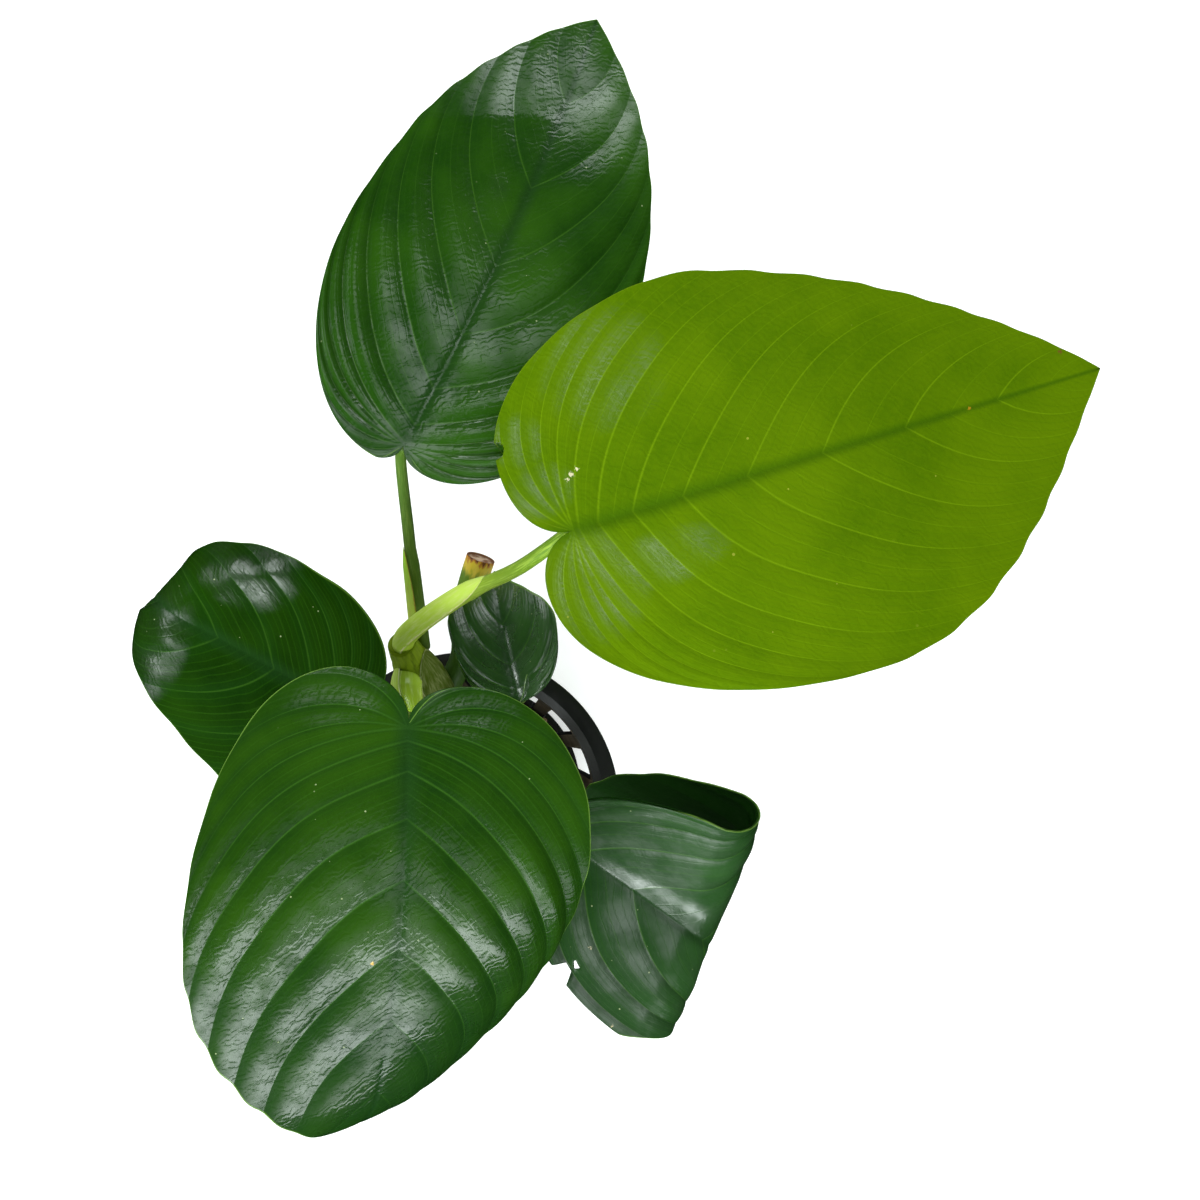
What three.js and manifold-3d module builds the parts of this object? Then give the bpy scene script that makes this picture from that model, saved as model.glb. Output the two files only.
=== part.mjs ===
// Young Anubias barteri growing out of a stone wool plug in a black plastic net pot.
// Millimetres, +Z up, origin at the middle of the pot's underside.
import * as THREE from 'three';
import { mergeVertices } from 'three/addons/utils/BufferGeometryUtils.js';
import Module from 'manifold-3d';

const wasm = await Module();
wasm.setup();

// Driving dimensions

// Air between neighbouring pieces.
const GAP = 0.32;

const POT = {
  height: 50,
  rimRadius: 27,
  rimDepth: 1.8,
  collarRadius: 25.5,
  collarDepth: 5,
  mouthRadius: 24.3,
  mouthStep: 0.5,
  shoulderRadius: 23.9,
  footRadius: 19.3,
  footRound: 0.8,
  wall: 1.2,
  floor: 1.6,
  facets: 48,
};

const SLOTS = { count: 16, widthDeg: 14.8, bottom: 5, top: 42, firstRibDeg: 6.8, innerRadius: 14 };

const FLOOR_SLOTS = { count: 8, width: 3, from: 8, to: 16.5 };

// The plug's surface swells by waves, each given by its share, its count round and its count up.
const WOOL = {
  radius: 15.8,
  footRadius: 15,
  top: 39.5,
  roughness: 0.7,
  waves: [[0.5, 3, 5], [0.3, 7, -9], [0.2, 11, 14]],
  facets: 28,
  layers: 8,
  rings: 4,
};

const RHIZOME = {
  path: [[4, -2, 30], [1, 6, 42], [-3, 15, 55], [-7, 24, 68], [-9, 29, 76]],
  radii: [[0, 3.2], [0.15, 4.5], [0.5, 4.5], [0.8, 4.1], [1, 2.4]],
  facets: 12,
  steps: 20,
  scars: 7,
  scarDepth: 0.22,
};

// Roots leave the rhizome, pass over the edge of the wool and hang between wool and wall. Crest and
// shoulder are radius and height. Each root has the share of the rhizome where it starts, its
// compass direction and the height of its tip.
const ROOTS = {
  radii: [[0, 0.95], [0.55, 0.7], [1, 0.4]],
  crest: [15.6, 42.4],
  arch: 0.8,
  shoulder: [19.2, 39.4],
  tipRadius: 18.2,
  facets: 6,
  steps: 12,
  each: [
    { start: 0.31, direction: 47, tip: 24 },
    { start: 0.38, direction: 108, tip: 31 },
    { start: 0.33, direction: 196, tip: 22 },
    { start: 0.29, direction: 292, tip: 28 },
    { start: 0.32, direction: 8, tip: 20 },
  ],
};

// A petiole is thick at its foot, then wrapped in a sheath up to a share of its length. The neck
// is the last bend below the blade: how far behind its base and how far below it. Radii along the
// petiole are multiples of the leaf's own.
const PETIOLE = {
  facets: 10,
  steps: 14,
  sheath: 1.35,
  sheathEnd: 0.08,
  aboveSheath: 1.05,
  top: 0.9,
  neck: [0.8, 3],
};

// The blade is thickest along its rib, which starts a little in front of the base.
const BLADE = { thickness: 0.7, rib: 0.5, ribStart: 0.1, ribWidth: 0.06, biteDepth: 16, clearance: 0.42 };

// Lengths of the handles of a margin's curves, as shares of the stretches they shape.
const HANDLES = { lobe: 0.45, widest: 0.55, tip: 0.4 };

// How the veins run: the share of the margin fed straight from the leaf base, the crowding of
// the side veins towards the tip, and their forward bow as a share of their length. The blade
// puffs up between the veins, most at half its width.
const VEINS = { fan: 0.4, crowding: 1.7, bow: 0.22 };
const PUFF = { inner: 0.12, outer: 0.92 };
const MARGIN_WAVES = 3;

// Each leaf, with its base (where the petiole meets the blade), the compass heading of its midrib
// (0 is +X, 90 is +Y), its droop and its roll in degrees. A side gives the angle of the notch at
// the base, how far the lobe reaches behind the base and how far out, the half width and where it
// is reached, the fullness of the shoulder and the half angle of the tip. A bend turns whatever
// lies beyond a line in the flat blade: down for a positive angle and up for a negative one. Puff
// and wave are the heights of the swellings between the veins and of the wave along the margin,
// and scallop is how far the margin draws in at each vein, as a share of the vein.
const LEAVES = {
  rear: {
    base: [-6.0, 59.5, 110], heading: 61.5, droop: 7, roll: 2,
    length: 82, sweep: 8,
    left: { notch: 40, lobe: 3.6, lobeAt: 3.1, width: 23.6, widestAt: 25.8, shoulder: 0.26, tip: 46 },
    right: { notch: 85, lobe: 2.1, lobeAt: 5, width: 22.9, widestAt: 25, shoulder: 0.36, tip: 44 },
    bends: [{ from: [14, -3], toward: 9, radius: 127, turn: 30 }],
    rows: 24, columns: 6, veins: 8,
    puff: 0.45, scallop: 0.012, wave: 0.35,
    petiole: {
      path: [[-6.3, 28.5, 68.5], [-6.5, 36.2, 78], [-6.6, 47.2, 93]],
      radius: 0.95, foot: 1.5, sheathTo: 0.5,
    },
  },
  young: {
    base: [19.7, 46.6, 115], heading: 17.3, droop: -2, roll: -0.5,
    length: 86.2, sweep: 0.5,
    left: { notch: 29, lobe: 8.1, lobeAt: 11.8, width: 32.3, widestAt: 24, shoulder: 0.15, tip: 45 },
    right: { notch: 43, lobe: 6.5, lobeAt: 8.3, width: 33.3, widestAt: 38.4, shoulder: 0.42, tip: 50 },
    bends: [{ from: [10, -1], toward: 9, radius: 148, turn: 17 }],
    rows: 24, columns: 6, veins: 8,
    puff: 0.22, scallop: 0.014, wave: 0.3,
    bite: [[-12, 14], [-7.2, 13.2], [-6.2, 14.4], [-6.6, 16], [-12, 16.6]],
    petiole: {
      path: [[-8.9, 28, 73.5], [-8, 30.3, 78.5], [1.4, 36.8, 91], [11.3, 41.2, 103]],
      radius: 1.15, foot: 1.8, sheathTo: 0.55,
    },
  },
  front: {
    base: [-5.2, 17.1, 112], heading: -90, droop: 6, roll: -1,
    length: 80, sweep: -9.7,
    left: { notch: 33, lobe: 6.1, lobeAt: 8.6, width: 28, widestAt: 18, shoulder: 0.3, tip: 50 },
    right: { notch: 18, lobe: 9.3, lobeAt: 10, width: 33.2, widestAt: 33, shoulder: 0.54, tip: 53 },
    bends: [
      { from: [64, 6], toward: 2, radius: 19.4, turn: 50 },
      { from: [30, 13], toward: 50, radius: 19, turn: 68 },
      { from: [4, 0], toward: 0, radius: 110, turn: 20 },
    ],
    rows: 27, columns: 6, veins: 9,
    puff: 0.7, scallop: 0.016, wave: 0.5,
    petiole: {
      path: [[-1.5, 12.5, 50.5], [-4, 13.3, 60], [-4.8, 14.6, 84]],
      radius: 1.15, foot: 1.7, sheathTo: 0.35,
    },
  },
  left: {
    base: [-18.6, 19.4, 88], heading: 149.5, droop: 9, roll: -28,
    length: 51.5, sweep: 3.6,
    left: { notch: 40, lobe: 8.3, lobeAt: 11, width: 27.3, widestAt: 9.5, shoulder: 0.2, tip: 45 },
    right: { notch: 27, lobe: 5.8, lobeAt: 8, width: 19.7, widestAt: 10.4, shoulder: 0.44, tip: 36 },
    bends: [
      { from: [29, 0], toward: -3, radius: 10.4, turn: 73 },
      { from: [19, -10], toward: -50, radius: 10.3, turn: 41 },
      { from: [0, 3], toward: 88, radius: 61, turn: 9 },
    ],
    rows: 24, columns: 6, veins: 8,
    puff: 0.3, scallop: 0.012, wave: 0.2,
    petiole: {
      path: [[-4.4, 17, 58], [-9.5, 18.2, 66], [-15.2, 19.2, 77]],
      radius: 1.0, foot: 1.5, sheathTo: 0.35,
    },
  },
  rolled: {
    base: [15.9, -1.2, 78], heading: -37, droop: -6, roll: 4.5,
    length: 70.7, sweep: 1.4,
    left: { notch: 10, lobe: -3.2, lobeAt: 0.2, width: 27.3, widestAt: 21.2, shoulder: 0.49, tip: 76 },
    right: { notch: 35, lobe: 1.7, lobeAt: 2.1, width: 20.5, widestAt: 28.5, shoulder: 0.06, tip: 16.5 },
    bends: [
      { from: [27.7, -6], toward: 13.7, radius: 5.2, turn: 175 },
      { from: [7.5, -3.8], toward: 101.5, radius: 7.5, turn: -49 },
      { from: [0, -6.5], toward: -108, radius: 30, turn: 3 },
    ],
    rows: 32, columns: 11, veins: 8,
    puff: 0.35, scallop: 0.012, wave: 0.2,
    bite: [
      [9.5, -21], [12.3, -19.2], [14.1, -17.1], [15.7, -15.3], [16.9, -13.1], [17.9, -13], [17.4, -14.6],
      [17.1, -16.3], [16.1, -16.2], [16.6, -17.6], [17, -18.8], [17.2, -21], [14, -26],
    ],
    petiole: {
      path: [[2, 6, 43.5], [8, 3.2, 52], [13, 0.6, 65]],
      radius: 1.05, foot: 1.5, sheathTo: 0.35,
    },
  },
  small: {
    base: [10.2, 19.3, 75], heading: 102, droop: -22, roll: -12,
    length: 22.8, sweep: 0,
    left: { notch: 145, lobe: -1.3, lobeAt: 3.6, width: 9, widestAt: 15, shoulder: 0.5, tip: 50 },
    right: { notch: 140, lobe: -6, lobeAt: 3.6, width: 9, widestAt: 13.5, shoulder: 0.5, tip: 50 },
    bends: [{ from: [6, 0], toward: 0, radius: 37, turn: 30 }],
    rows: 12, columns: 4, veins: 4,
    puff: 0.25, scallop: 0.01, wave: 0.2,
    petiole: {
      path: [[-0.5, 11, 49], [4.5, 14.5, 57], [8.6, 18, 67]],
      radius: 0.75, foot: 1.2, sheathTo: 0.3,
    },
  },
};

const CUT_STALK = {
  path: [[-3.7, 19.1, 60], [0.2, 26.7, 62.5], [0.5, 33.6, 66], [3.9, 43.2, 74], [4.8, 45.8, 76.5]],
  radii: [[0, 2.1], [0.6, 2.0], [0.9, 2.4], [1, 2.4]],
  facets: 12,
  steps: 12,
  cutAt: [3.9, 43.2, 74],
  cutNormal: [0.1, 0.72, 0.69],
};

const BUD = {
  path: [[-8.2, 25.8, 71.2], [-8.4, 22.6, 72.2], [-7.7, 19.4, 71], [-7.1, 17, 68.8]],
  radii: [[0, 1.5], [0.35, 2.5], [0.7, 1.8], [1, 0.5]],
  facets: 10,
  steps: 8,
};

// Colour and roughness of each finish.
const FINISH = {
  pot: [0x1f1f21, 0.38],
  wool: [0x6b5a3a, 0.95],
  rhizome: [0x3f5a16, 0.5],
  bud: [0x6f9a10, 0.35],
  cutStalk: [0x3f6a14, 0.5],
  darkPetiole: [0x3d6a22, 0.45],
  youngPetiole: [0x9bc23c, 0.45],
  rear: [0x1f4a12, 0.42],
  young: [0x6f9400, 0.45],
  front: [0x2a5a14, 0.38],
  left: [0x1c4a10, 0.4],
  rolled: [0x28503a, 0.34],
  small: [0x1b4722, 0.36],
};

// Points closer than this become one, and facets flatter than the second are merged.
const WELD = 0.0005;
const FLATNESS = 0.004;

// Points and solids

const radians = THREE.MathUtils.degToRad;
const vector = (point) => new THREE.Vector3(...point);
const smoothPath = (path) => new THREE.CatmullRomCurve3(path.map(vector), false, 'centripetal');
const UP = new THREE.Vector3(0, 0, 1);

// A closed geometry: points that fall together become one, and triangles that collapse are dropped.
function closedGeometry(points, triangles) {
  const places = new Map();
  const kept = [];
  const slots = points.map((p) => {
    const key = [p.x, p.y, p.z].map((value) => Math.round(value / WELD)).join(' ');
    if (!places.has(key)) {
      places.set(key, kept.length);
      kept.push(p);
    }
    return places.get(key);
  });
  const index = [];
  for (const triangle of triangles) {
    const [a, b, c] = triangle.map((corner) => slots[corner]);
    if (a !== b && b !== c && c !== a) index.push(a, b, c);
  }
  const geometry = new THREE.BufferGeometry().setFromPoints(kept);
  geometry.setIndex(index);
  return geometry;
}

function toSolid(geometry) {
  const bare = geometry.clone();
  bare.deleteAttribute('normal');
  bare.deleteAttribute('uv');
  const merged = mergeVertices(bare, WELD);
  const vertProperties = merged.getAttribute('position').array;
  const triVerts = new Uint32Array(merged.index.array);
  return new wasm.Manifold(new wasm.Mesh({ numProp: 3, vertProperties, triVerts }));
}

function toGeometry(solid) {
  const mesh = solid.simplify(FLATNESS).getMesh();
  const geometry = new THREE.BufferGeometry();
  geometry.setAttribute('position', new THREE.BufferAttribute(mesh.vertProperties, 3));
  geometry.setIndex(new THREE.BufferAttribute(mesh.triVerts, 1));
  return geometry;
}

// The largest body of a solid, which leaves out the scraps of a cut.
function mainBody(solid) {
  const bodies = solid.decompose();
  return bodies.reduce((best, body) => (body.volume() > best.volume() ? body : best));
}

// A value that runs through [fraction, value] pairs.
function along(pairs, fraction) {
  const next = pairs.findIndex(([at]) => at >= fraction);
  if (next <= 0) return pairs[0][1];
  const [fromAt, fromValue] = pairs[next - 1];
  const [toAt, toValue] = pairs[next];
  const share = (fraction - fromAt) / (toAt - fromAt);
  return THREE.MathUtils.lerp(fromValue, toValue, share);
}

// A straight-sided block of an outline, its foot on the XY plane.
function prism(outline, depth, curveSegments) {
  return new THREE.ExtrudeGeometry(outline, { depth, curveSegments, bevelEnabled: false });
}

// One ring of points, from a rule that gives the point at an angle.
function hoop(facets, pointAt) {
  return Array.from({ length: facets }, (_, facet) => pointAt((facet / facets) * 2 * Math.PI));
}

// A skin over hoops of points, closed by a point at either end.
function skin(foot, hoops, head) {
  const facets = hoops[0].length;
  const points = [...hoops.flat(), foot, head];
  const lastHoop = (hoops.length - 1) * facets;
  const footAt = points.length - 2;
  const headAt = points.length - 1;
  const triangles = [];
  for (let facet = 0; facet < facets; facet += 1) {
    const next = (facet + 1) % facets;
    for (let low = 0; low < lastHoop; low += facets) {
      const high = low + facets;
      triangles.push([low + facet, low + next, high + next], [low + facet, high + next, high + facet]);
    }
    triangles.push([footAt, next, facet], [headAt, lastHoop + facet, lastHoop + next]);
  }
  return closedGeometry(points, triangles);
}

// A round stem along a smooth path, closed at both ends.
function stem(path, radiusAt, facets, steps) {
  const curve = smoothPath(path);
  const frames = curve.computeFrenetFrames(steps, false);
  const hoops = frames.normals.map((normal, step) => {
    const centre = curve.getPointAt(step / steps);
    const radius = radiusAt(step / steps);
    return hoop(facets, (angle) => centre.clone()
      .addScaledVector(normal, radius * Math.cos(angle))
      .addScaledVector(frames.binormals[step], radius * Math.sin(angle)));
  });
  return skin(curve.getPointAt(0), hoops, curve.getPointAt(1));
}

// Rhizome with its roots

function rhizomeRadius(extra) {
  return (fraction) => {
    const scar = Math.abs(Math.cos(fraction * RHIZOME.scars * Math.PI));
    return along(RHIZOME.radii, fraction) - RHIZOME.scarDepth * (1 - scar) + extra;
  };
}

// The rhizome without its roots, grown by some extra all round.
function makeRhizomeCore(extra) {
  const path = RHIZOME.path.map(vector);
  const [first, second] = path;
  const [before, last] = path.slice(-2);
  first.add(first.clone().sub(second).setLength(extra));
  last.add(last.clone().sub(before).setLength(extra));
  const { facets, steps } = RHIZOME;
  return toSolid(stem(path.map((point) => point.toArray()), rhizomeRadius(extra), facets, steps));
}

function rootPath({ start, direction, tip }) {
  const out = new THREE.Vector3(1, 0, 0).applyAxisAngle(UP, radians(direction));
  const place = (radius, height) => out.clone().multiplyScalar(radius).setZ(height);
  const origin = smoothPath(RHIZOME.path).getPointAt(start);
  const crest = place(...ROOTS.crest);
  const arch = origin.clone().lerp(crest, 0.5).setZ(crest.z + ROOTS.arch);
  const shoulder = place(...ROOTS.shoulder);
  const hang = shoulder.clone().setZ((shoulder.z + tip) / 2);
  return [origin, arch, crest, shoulder, hang, place(ROOTS.tipRadius, tip)].map((p) => p.toArray());
}

function makeRhizome() {
  const { radii, facets, steps } = ROOTS;
  return ROOTS.each.reduce((body, root) => {
    const shape = stem(rootPath(root), (at) => along(radii, at), facets, steps);
    return body.add(toSolid(shape));
  }, makeRhizomeCore(0));
}

const rhizomeClearance = makeRhizomeCore(GAP);

// A stem that springs from the rhizome, cut to its surface with a hair of air.
function offRhizome(geometry) {
  return mainBody(toSolid(geometry).subtract(rhizomeClearance));
}

// Net pot

function makePot() {
  const { wall, floor, height, collarDepth, rimDepth, footRadius, footRound, shoulderRadius } = POT;
  const collarFoot = height - collarDepth;
  const profile = [
    [0, 0], [footRadius - footRound, 0], [footRadius, footRound],
    [shoulderRadius, collarFoot - footRound], [POT.collarRadius, collarFoot],
    [POT.collarRadius, height - rimDepth], [POT.rimRadius, height - rimDepth], [POT.rimRadius, height],
    [POT.mouthRadius, height], [POT.mouthRadius, collarFoot + POT.mouthStep],
    [shoulderRadius - wall, collarFoot], [footRadius - wall, floor], [0, floor],
  ];
  const shell = new THREE.LatheGeometry(profile.map(([r, z]) => new THREE.Vector2(r, z)), POT.facets);
  shell.rotateX(Math.PI / 2);
  let pot = toSolid(shell);
  const half = radians(SLOTS.widthDeg / 2);
  for (let slot = 0; slot < SLOTS.count; slot += 1) {
    const middle = radians(SLOTS.firstRibDeg + ((slot + 0.5) * 360) / SLOTS.count);
    const wedge = new THREE.Shape();
    wedge.absarc(0, 0, SLOTS.innerRadius, middle - half, middle + half, false);
    wedge.absarc(0, 0, POT.rimRadius, middle + half, middle - half, true);
    const cutter = prism(wedge, SLOTS.top - SLOTS.bottom, 2);
    cutter.translate(0, 0, SLOTS.bottom);
    pot = pot.subtract(toSolid(cutter));
  }
  for (let slot = 0; slot < FLOOR_SLOTS.count; slot += 1) {
    const cutter = new THREE.BoxGeometry(FLOOR_SLOTS.to - FLOOR_SLOTS.from, FLOOR_SLOTS.width, 3 * floor);
    cutter.translate((FLOOR_SLOTS.to + FLOOR_SLOTS.from) / 2, 0, floor / 2);
    cutter.rotateZ(((slot + 0.5) / FLOOR_SLOTS.count) * 2 * Math.PI);
    pot = pot.subtract(toSolid(cutter));
  }
  return pot;
}

// Stone wool plug, rough all over, with a plain hole for the rhizome

function makeWool() {
  const { radius, footRadius, top, facets, layers, rings } = WOOL;
  const foot = POT.floor + GAP;
  const rough = (angle, level) => WOOL.waves.reduce(
    (sum, [share, round, up]) => sum + WOOL.roughness * share * Math.sin(round * angle + up * level), 0);
  const profile = [[footRadius, foot]];
  for (let layer = 1; layer <= layers; layer += 1) {
    const level = layer / layers;
    profile.push([THREE.MathUtils.lerp(footRadius, radius, level), THREE.MathUtils.lerp(foot, top, level)]);
  }
  for (let ring = rings - 1; ring > 0; ring -= 1) profile.push([radius * (ring / rings), top]);
  const hoops = profile.map(([r, z]) => hoop(facets, (angle) => {
    const swell = z > foot && r > footRadius ? rough(angle, z / top) : 0;
    const lift = r < footRadius ? rough(angle, r / radius) : 0;
    return new THREE.Vector3((r + swell) * Math.cos(angle), (r + swell) * Math.sin(angle), z + lift);
  }));
  const plug = toSolid(skin(new THREE.Vector3(0, 0, foot), hoops, new THREE.Vector3(0, 0, top)));
  return mainBody(plug.subtract(makeRhizomeCore(2 * GAP)));
}

// Leaf blades

// One margin of a flat blade, from the notch at the base round the lobe to the tip.
function margin(length, side) {
  const { lobe, lobeAt, width, widestAt, shoulder } = side;
  const notch = radians(side.notch);
  const tip = radians(side.tip);
  const lead = HANDLES.lobe * Math.hypot(lobe, lobeAt);
  const rise = HANDLES.widest * (width - lobeAt);
  const run = HANDLES.widest * (widestAt + lobe);
  const taper = HANDLES.tip * Math.hypot(length - widestAt, width);
  const point = (u, v) => new THREE.Vector2(u, v);
  const notchLead = point(-lead * Math.cos(notch), lead * Math.sin(notch));
  const lobeEnd = point(-lobe, lobeAt);
  const widest = point(widestAt, width);
  const path = new THREE.CurvePath();
  path.add(new THREE.CubicBezierCurve(point(0, 0), notchLead, point(-lobe, lobeAt / 2), lobeEnd));
  path.add(new THREE.CubicBezierCurve(
    lobeEnd, point(-lobe, lobeAt + rise), point(widestAt - run, width), widest));
  path.add(new THREE.CubicBezierCurve(
    widest, point(widestAt + shoulder * (length - widestAt), width),
    point(length - taper * Math.cos(tip), taper * Math.sin(tip)), point(length, 0)));
  return path;
}

// A point of the blade once one bend has turned what lies beyond its line.
function bent(point, flat, bend) {
  const heading = radians(bend.toward);
  const turn = radians(bend.turn);
  const ahead = new THREE.Vector2(Math.cos(heading), Math.sin(heading));
  const line = new THREE.Vector2(-ahead.y, ahead.x);
  const from = new THREE.Vector2(...bend.from);
  const beyond = flat.clone().sub(from).dot(ahead);
  const arc = THREE.MathUtils.clamp(beyond, 0, bend.radius * Math.abs(turn));
  const angle = arc / bend.radius;
  const offset = new THREE.Vector2(point.x, point.y).sub(from);
  const forward = offset.dot(ahead) - arc;
  const across = offset.dot(line);
  const down = Math.sign(turn);
  const arm = point.z * down + bend.radius;
  const reach = forward * Math.cos(angle) + arm * Math.sin(angle);
  const height = down * (arm * Math.cos(angle) - forward * Math.sin(angle) - bend.radius);
  return new THREE.Vector3(
    from.x + reach * ahead.x + across * line.x, from.y + reach * ahead.y + across * line.y, height);
}

// Where a point of the flat blade ends up in the blade's own frame, lifted off its middle surface.
function bladePoint(leaf, flat, lift) {
  const curved = flat.clone();
  curved.y += leaf.sweep * (Math.max(0, flat.x) / leaf.length) ** 2;
  const start = new THREE.Vector3(curved.x, curved.y, lift);
  return leaf.bends.reduce((point, bend) => bent(point, curved, bend), start);
}

// Where the columns stand across half a blade: on the midrib, beside it, and on to the margin.
function columnShares(leaf) {
  const steps = Array.from({ length: leaf.columns }, (_, column) => column / (leaf.columns - 1));
  return [0, ...steps.map((step) => THREE.MathUtils.lerp(BLADE.ribWidth, 1, step))];
}

// The upper and lower points along the vein that feeds one share of a margin.
function veinPoints(leaf, path, hand, at) {
  const onMargin = path.getPointAt(at).multiply(new THREE.Vector2(1, hand));
  const grown = Math.max(0, (at - VEINS.fan) / (1 - VEINS.fan)) ** VEINS.crowding;
  const onMidrib = new THREE.Vector2(leaf.length * grown, 0);
  const chord = onMargin.clone().sub(onMidrib);
  const elbow = onMidrib.clone().addScaledVector(chord, 0.5);
  elbow.add(new THREE.Vector2(-chord.y, chord.x).multiplyScalar(VEINS.bow * hand));
  const vein = new THREE.QuadraticBezierCurve(onMidrib, elbow, onMargin);
  const between = Math.sin(Math.PI * leaf.veins * at) ** 2;
  const ends = Math.sin(Math.PI * at);
  const half = BLADE.thickness / 2;
  return columnShares(leaf).flatMap((column) => {
    const flat = vein.getPoint(column * (1 - leaf.scallop * (1 - between)));
    const dome = Math.sin(Math.PI * THREE.MathUtils.lerp(PUFF.inner, PUFF.outer, column));
    const wave = leaf.wave * ends * column ** 3 * Math.sin(MARGIN_WAVES * 2 * Math.PI * at + hand);
    const lift = column > 0 ? ends * leaf.puff * between * dome + wave : 0;
    const rib = column > 0 ? 0 : BLADE.rib * ends * Math.min(1, grown / BLADE.ribStart);
    return [bladePoint(leaf, flat, lift + half), bladePoint(leaf, flat, lift - half - rib)];
  });
}

// Triangles of half a blade, alike on both faces, and the strip along its margin. The first half's
// corners run one way round and the second half's the other way.
function halfTriangles(start, rows, columns, hand) {
  const triangles = [];
  const node = (row, column, face) => start + 2 * (row * columns + column) + face;
  const push = (a, b, c, outward) => triangles.push(outward ? [a, b, c] : [a, c, b]);
  for (let row = 0; row < rows; row += 1) {
    for (let column = 0; column + 1 < columns; column += 1) {
      for (const face of [0, 1]) {
        const a = node(row, column, face);
        const b = node(row + 1, column, face);
        const c = node(row + 1, column + 1, face);
        const d = node(row, column + 1, face);
        const outward = (hand > 0) === (face === 0);
        push(a, b, c, outward);
        push(a, c, d, outward);
      }
    }
    const edge = columns - 1;
    const [top, nextTop, low, nextLow] = [[0, 0], [1, 0], [0, 1], [1, 1]]
      .map(([step, face]) => node(row + step, edge, face));
    push(top, nextTop, nextLow, hand > 0);
    push(top, nextLow, low, hand > 0);
  }
  return triangles;
}

// The blade without what has been bitten out of its margin.
function withoutBite(geometry, bite) {
  const outline = new THREE.Shape(bite.map(([u, v]) => new THREE.Vector2(u, v)));
  const cutter = prism(outline, BLADE.biteDepth, 1).translate(0, 0, -BLADE.biteDepth / 2);
  return toGeometry(mainBody(toSolid(geometry).subtract(toSolid(cutter))));
}

function bladeGeometry(leaf) {
  const columns = columnShares(leaf).length;
  const points = [];
  const triangles = [];
  for (const hand of [1, -1]) {
    const path = margin(leaf.length, hand > 0 ? leaf.left : leaf.right);
    triangles.push(...halfTriangles(points.length, leaf.rows, columns, hand));
    for (let row = 0; row <= leaf.rows; row += 1) {
      points.push(...veinPoints(leaf, path, hand, row / leaf.rows));
    }
  }
  const geometry = closedGeometry(points, triangles);
  return leaf.bite ? withoutBite(geometry, leaf.bite) : geometry;
}

// Turns a blade from its own frame (midrib along X, upper face up) to where it grows.
function growsAt(object, leaf) {
  object.position.set(...leaf.base);
  object.rotation.set(radians(leaf.roll), radians(leaf.droop), radians(leaf.heading), 'ZYX');
  object.updateMatrixWorld(true);
}

// Petioles, each ending a hair below the base of its blade

function petioleGeometry(leaf, blade) {
  const { path, radius, foot, sheathTo } = leaf.petiole;
  const [behind, below] = PETIOLE.neck;
  const place = (u, lift) => blade.localToWorld(bladePoint(leaf, new THREE.Vector2(u, 0), lift));
  const middle = place(0, 0);
  const under = place(0, -BLADE.thickness / 2 - BLADE.clearance);
  const down = under.clone().sub(middle).normalize();
  const route = [...path, place(-behind, -below).toArray(), middle.toArray()];
  const swell = [
    [0, foot], [sheathTo - PETIOLE.sheathEnd, radius * PETIOLE.sheath],
    [sheathTo, radius * PETIOLE.aboveSheath], [1, radius * PETIOLE.top],
  ];
  const stalk = offRhizome(stem(route, (at) => along(swell, at), PETIOLE.facets, PETIOLE.steps));
  return toGeometry(stalk.trimByPlane(down.toArray(), down.dot(under)));
}

function cutStalkGeometry() {
  const { path, radii, facets, steps } = CUT_STALK;
  const stalk = offRhizome(stem(path, (at) => along(radii, at), facets, steps));
  const normal = vector(CUT_STALK.cutNormal).normalize().negate();
  return toGeometry(stalk.trimByPlane(normal.toArray(), normal.dot(vector(CUT_STALK.cutAt))));
}

function budGeometry() {
  const { path, radii, facets, steps } = BUD;
  return toGeometry(offRhizome(stem(path, (at) => along(radii, at), facets, steps)));
}

// The plant in its pot

const plant = new THREE.Group();

function add(name, geometry, [color, roughness]) {
  const material = new THREE.MeshStandardMaterial({ color, roughness, metalness: 0 });
  const mesh = new THREE.Mesh(geometry, material);
  mesh.name = name;
  plant.add(mesh);
  return mesh;
}

add('net_pot', toGeometry(makePot()), FINISH.pot);
add('stone_wool', toGeometry(makeWool()), FINISH.wool);
add('rhizome', toGeometry(makeRhizome()), FINISH.rhizome);

for (const [name, leaf] of Object.entries(LEAVES)) {
  const blade = add(`blade_${name}`, bladeGeometry(leaf), FINISH[name]);
  growsAt(blade, leaf);
  const finish = name === 'young' ? FINISH.youngPetiole : FINISH.darkPetiole;
  add(`petiole_${name}`, petioleGeometry(leaf, blade), finish);
}

add('cut_stalk', cutStalkGeometry(), FINISH.cutStalk);
add('growing_bud', budGeometry(), FINISH.bud);

export default plant;
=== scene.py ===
"""A young Anubias barteri in a net pot: fine leaves, stems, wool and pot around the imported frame."""

import math

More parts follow.
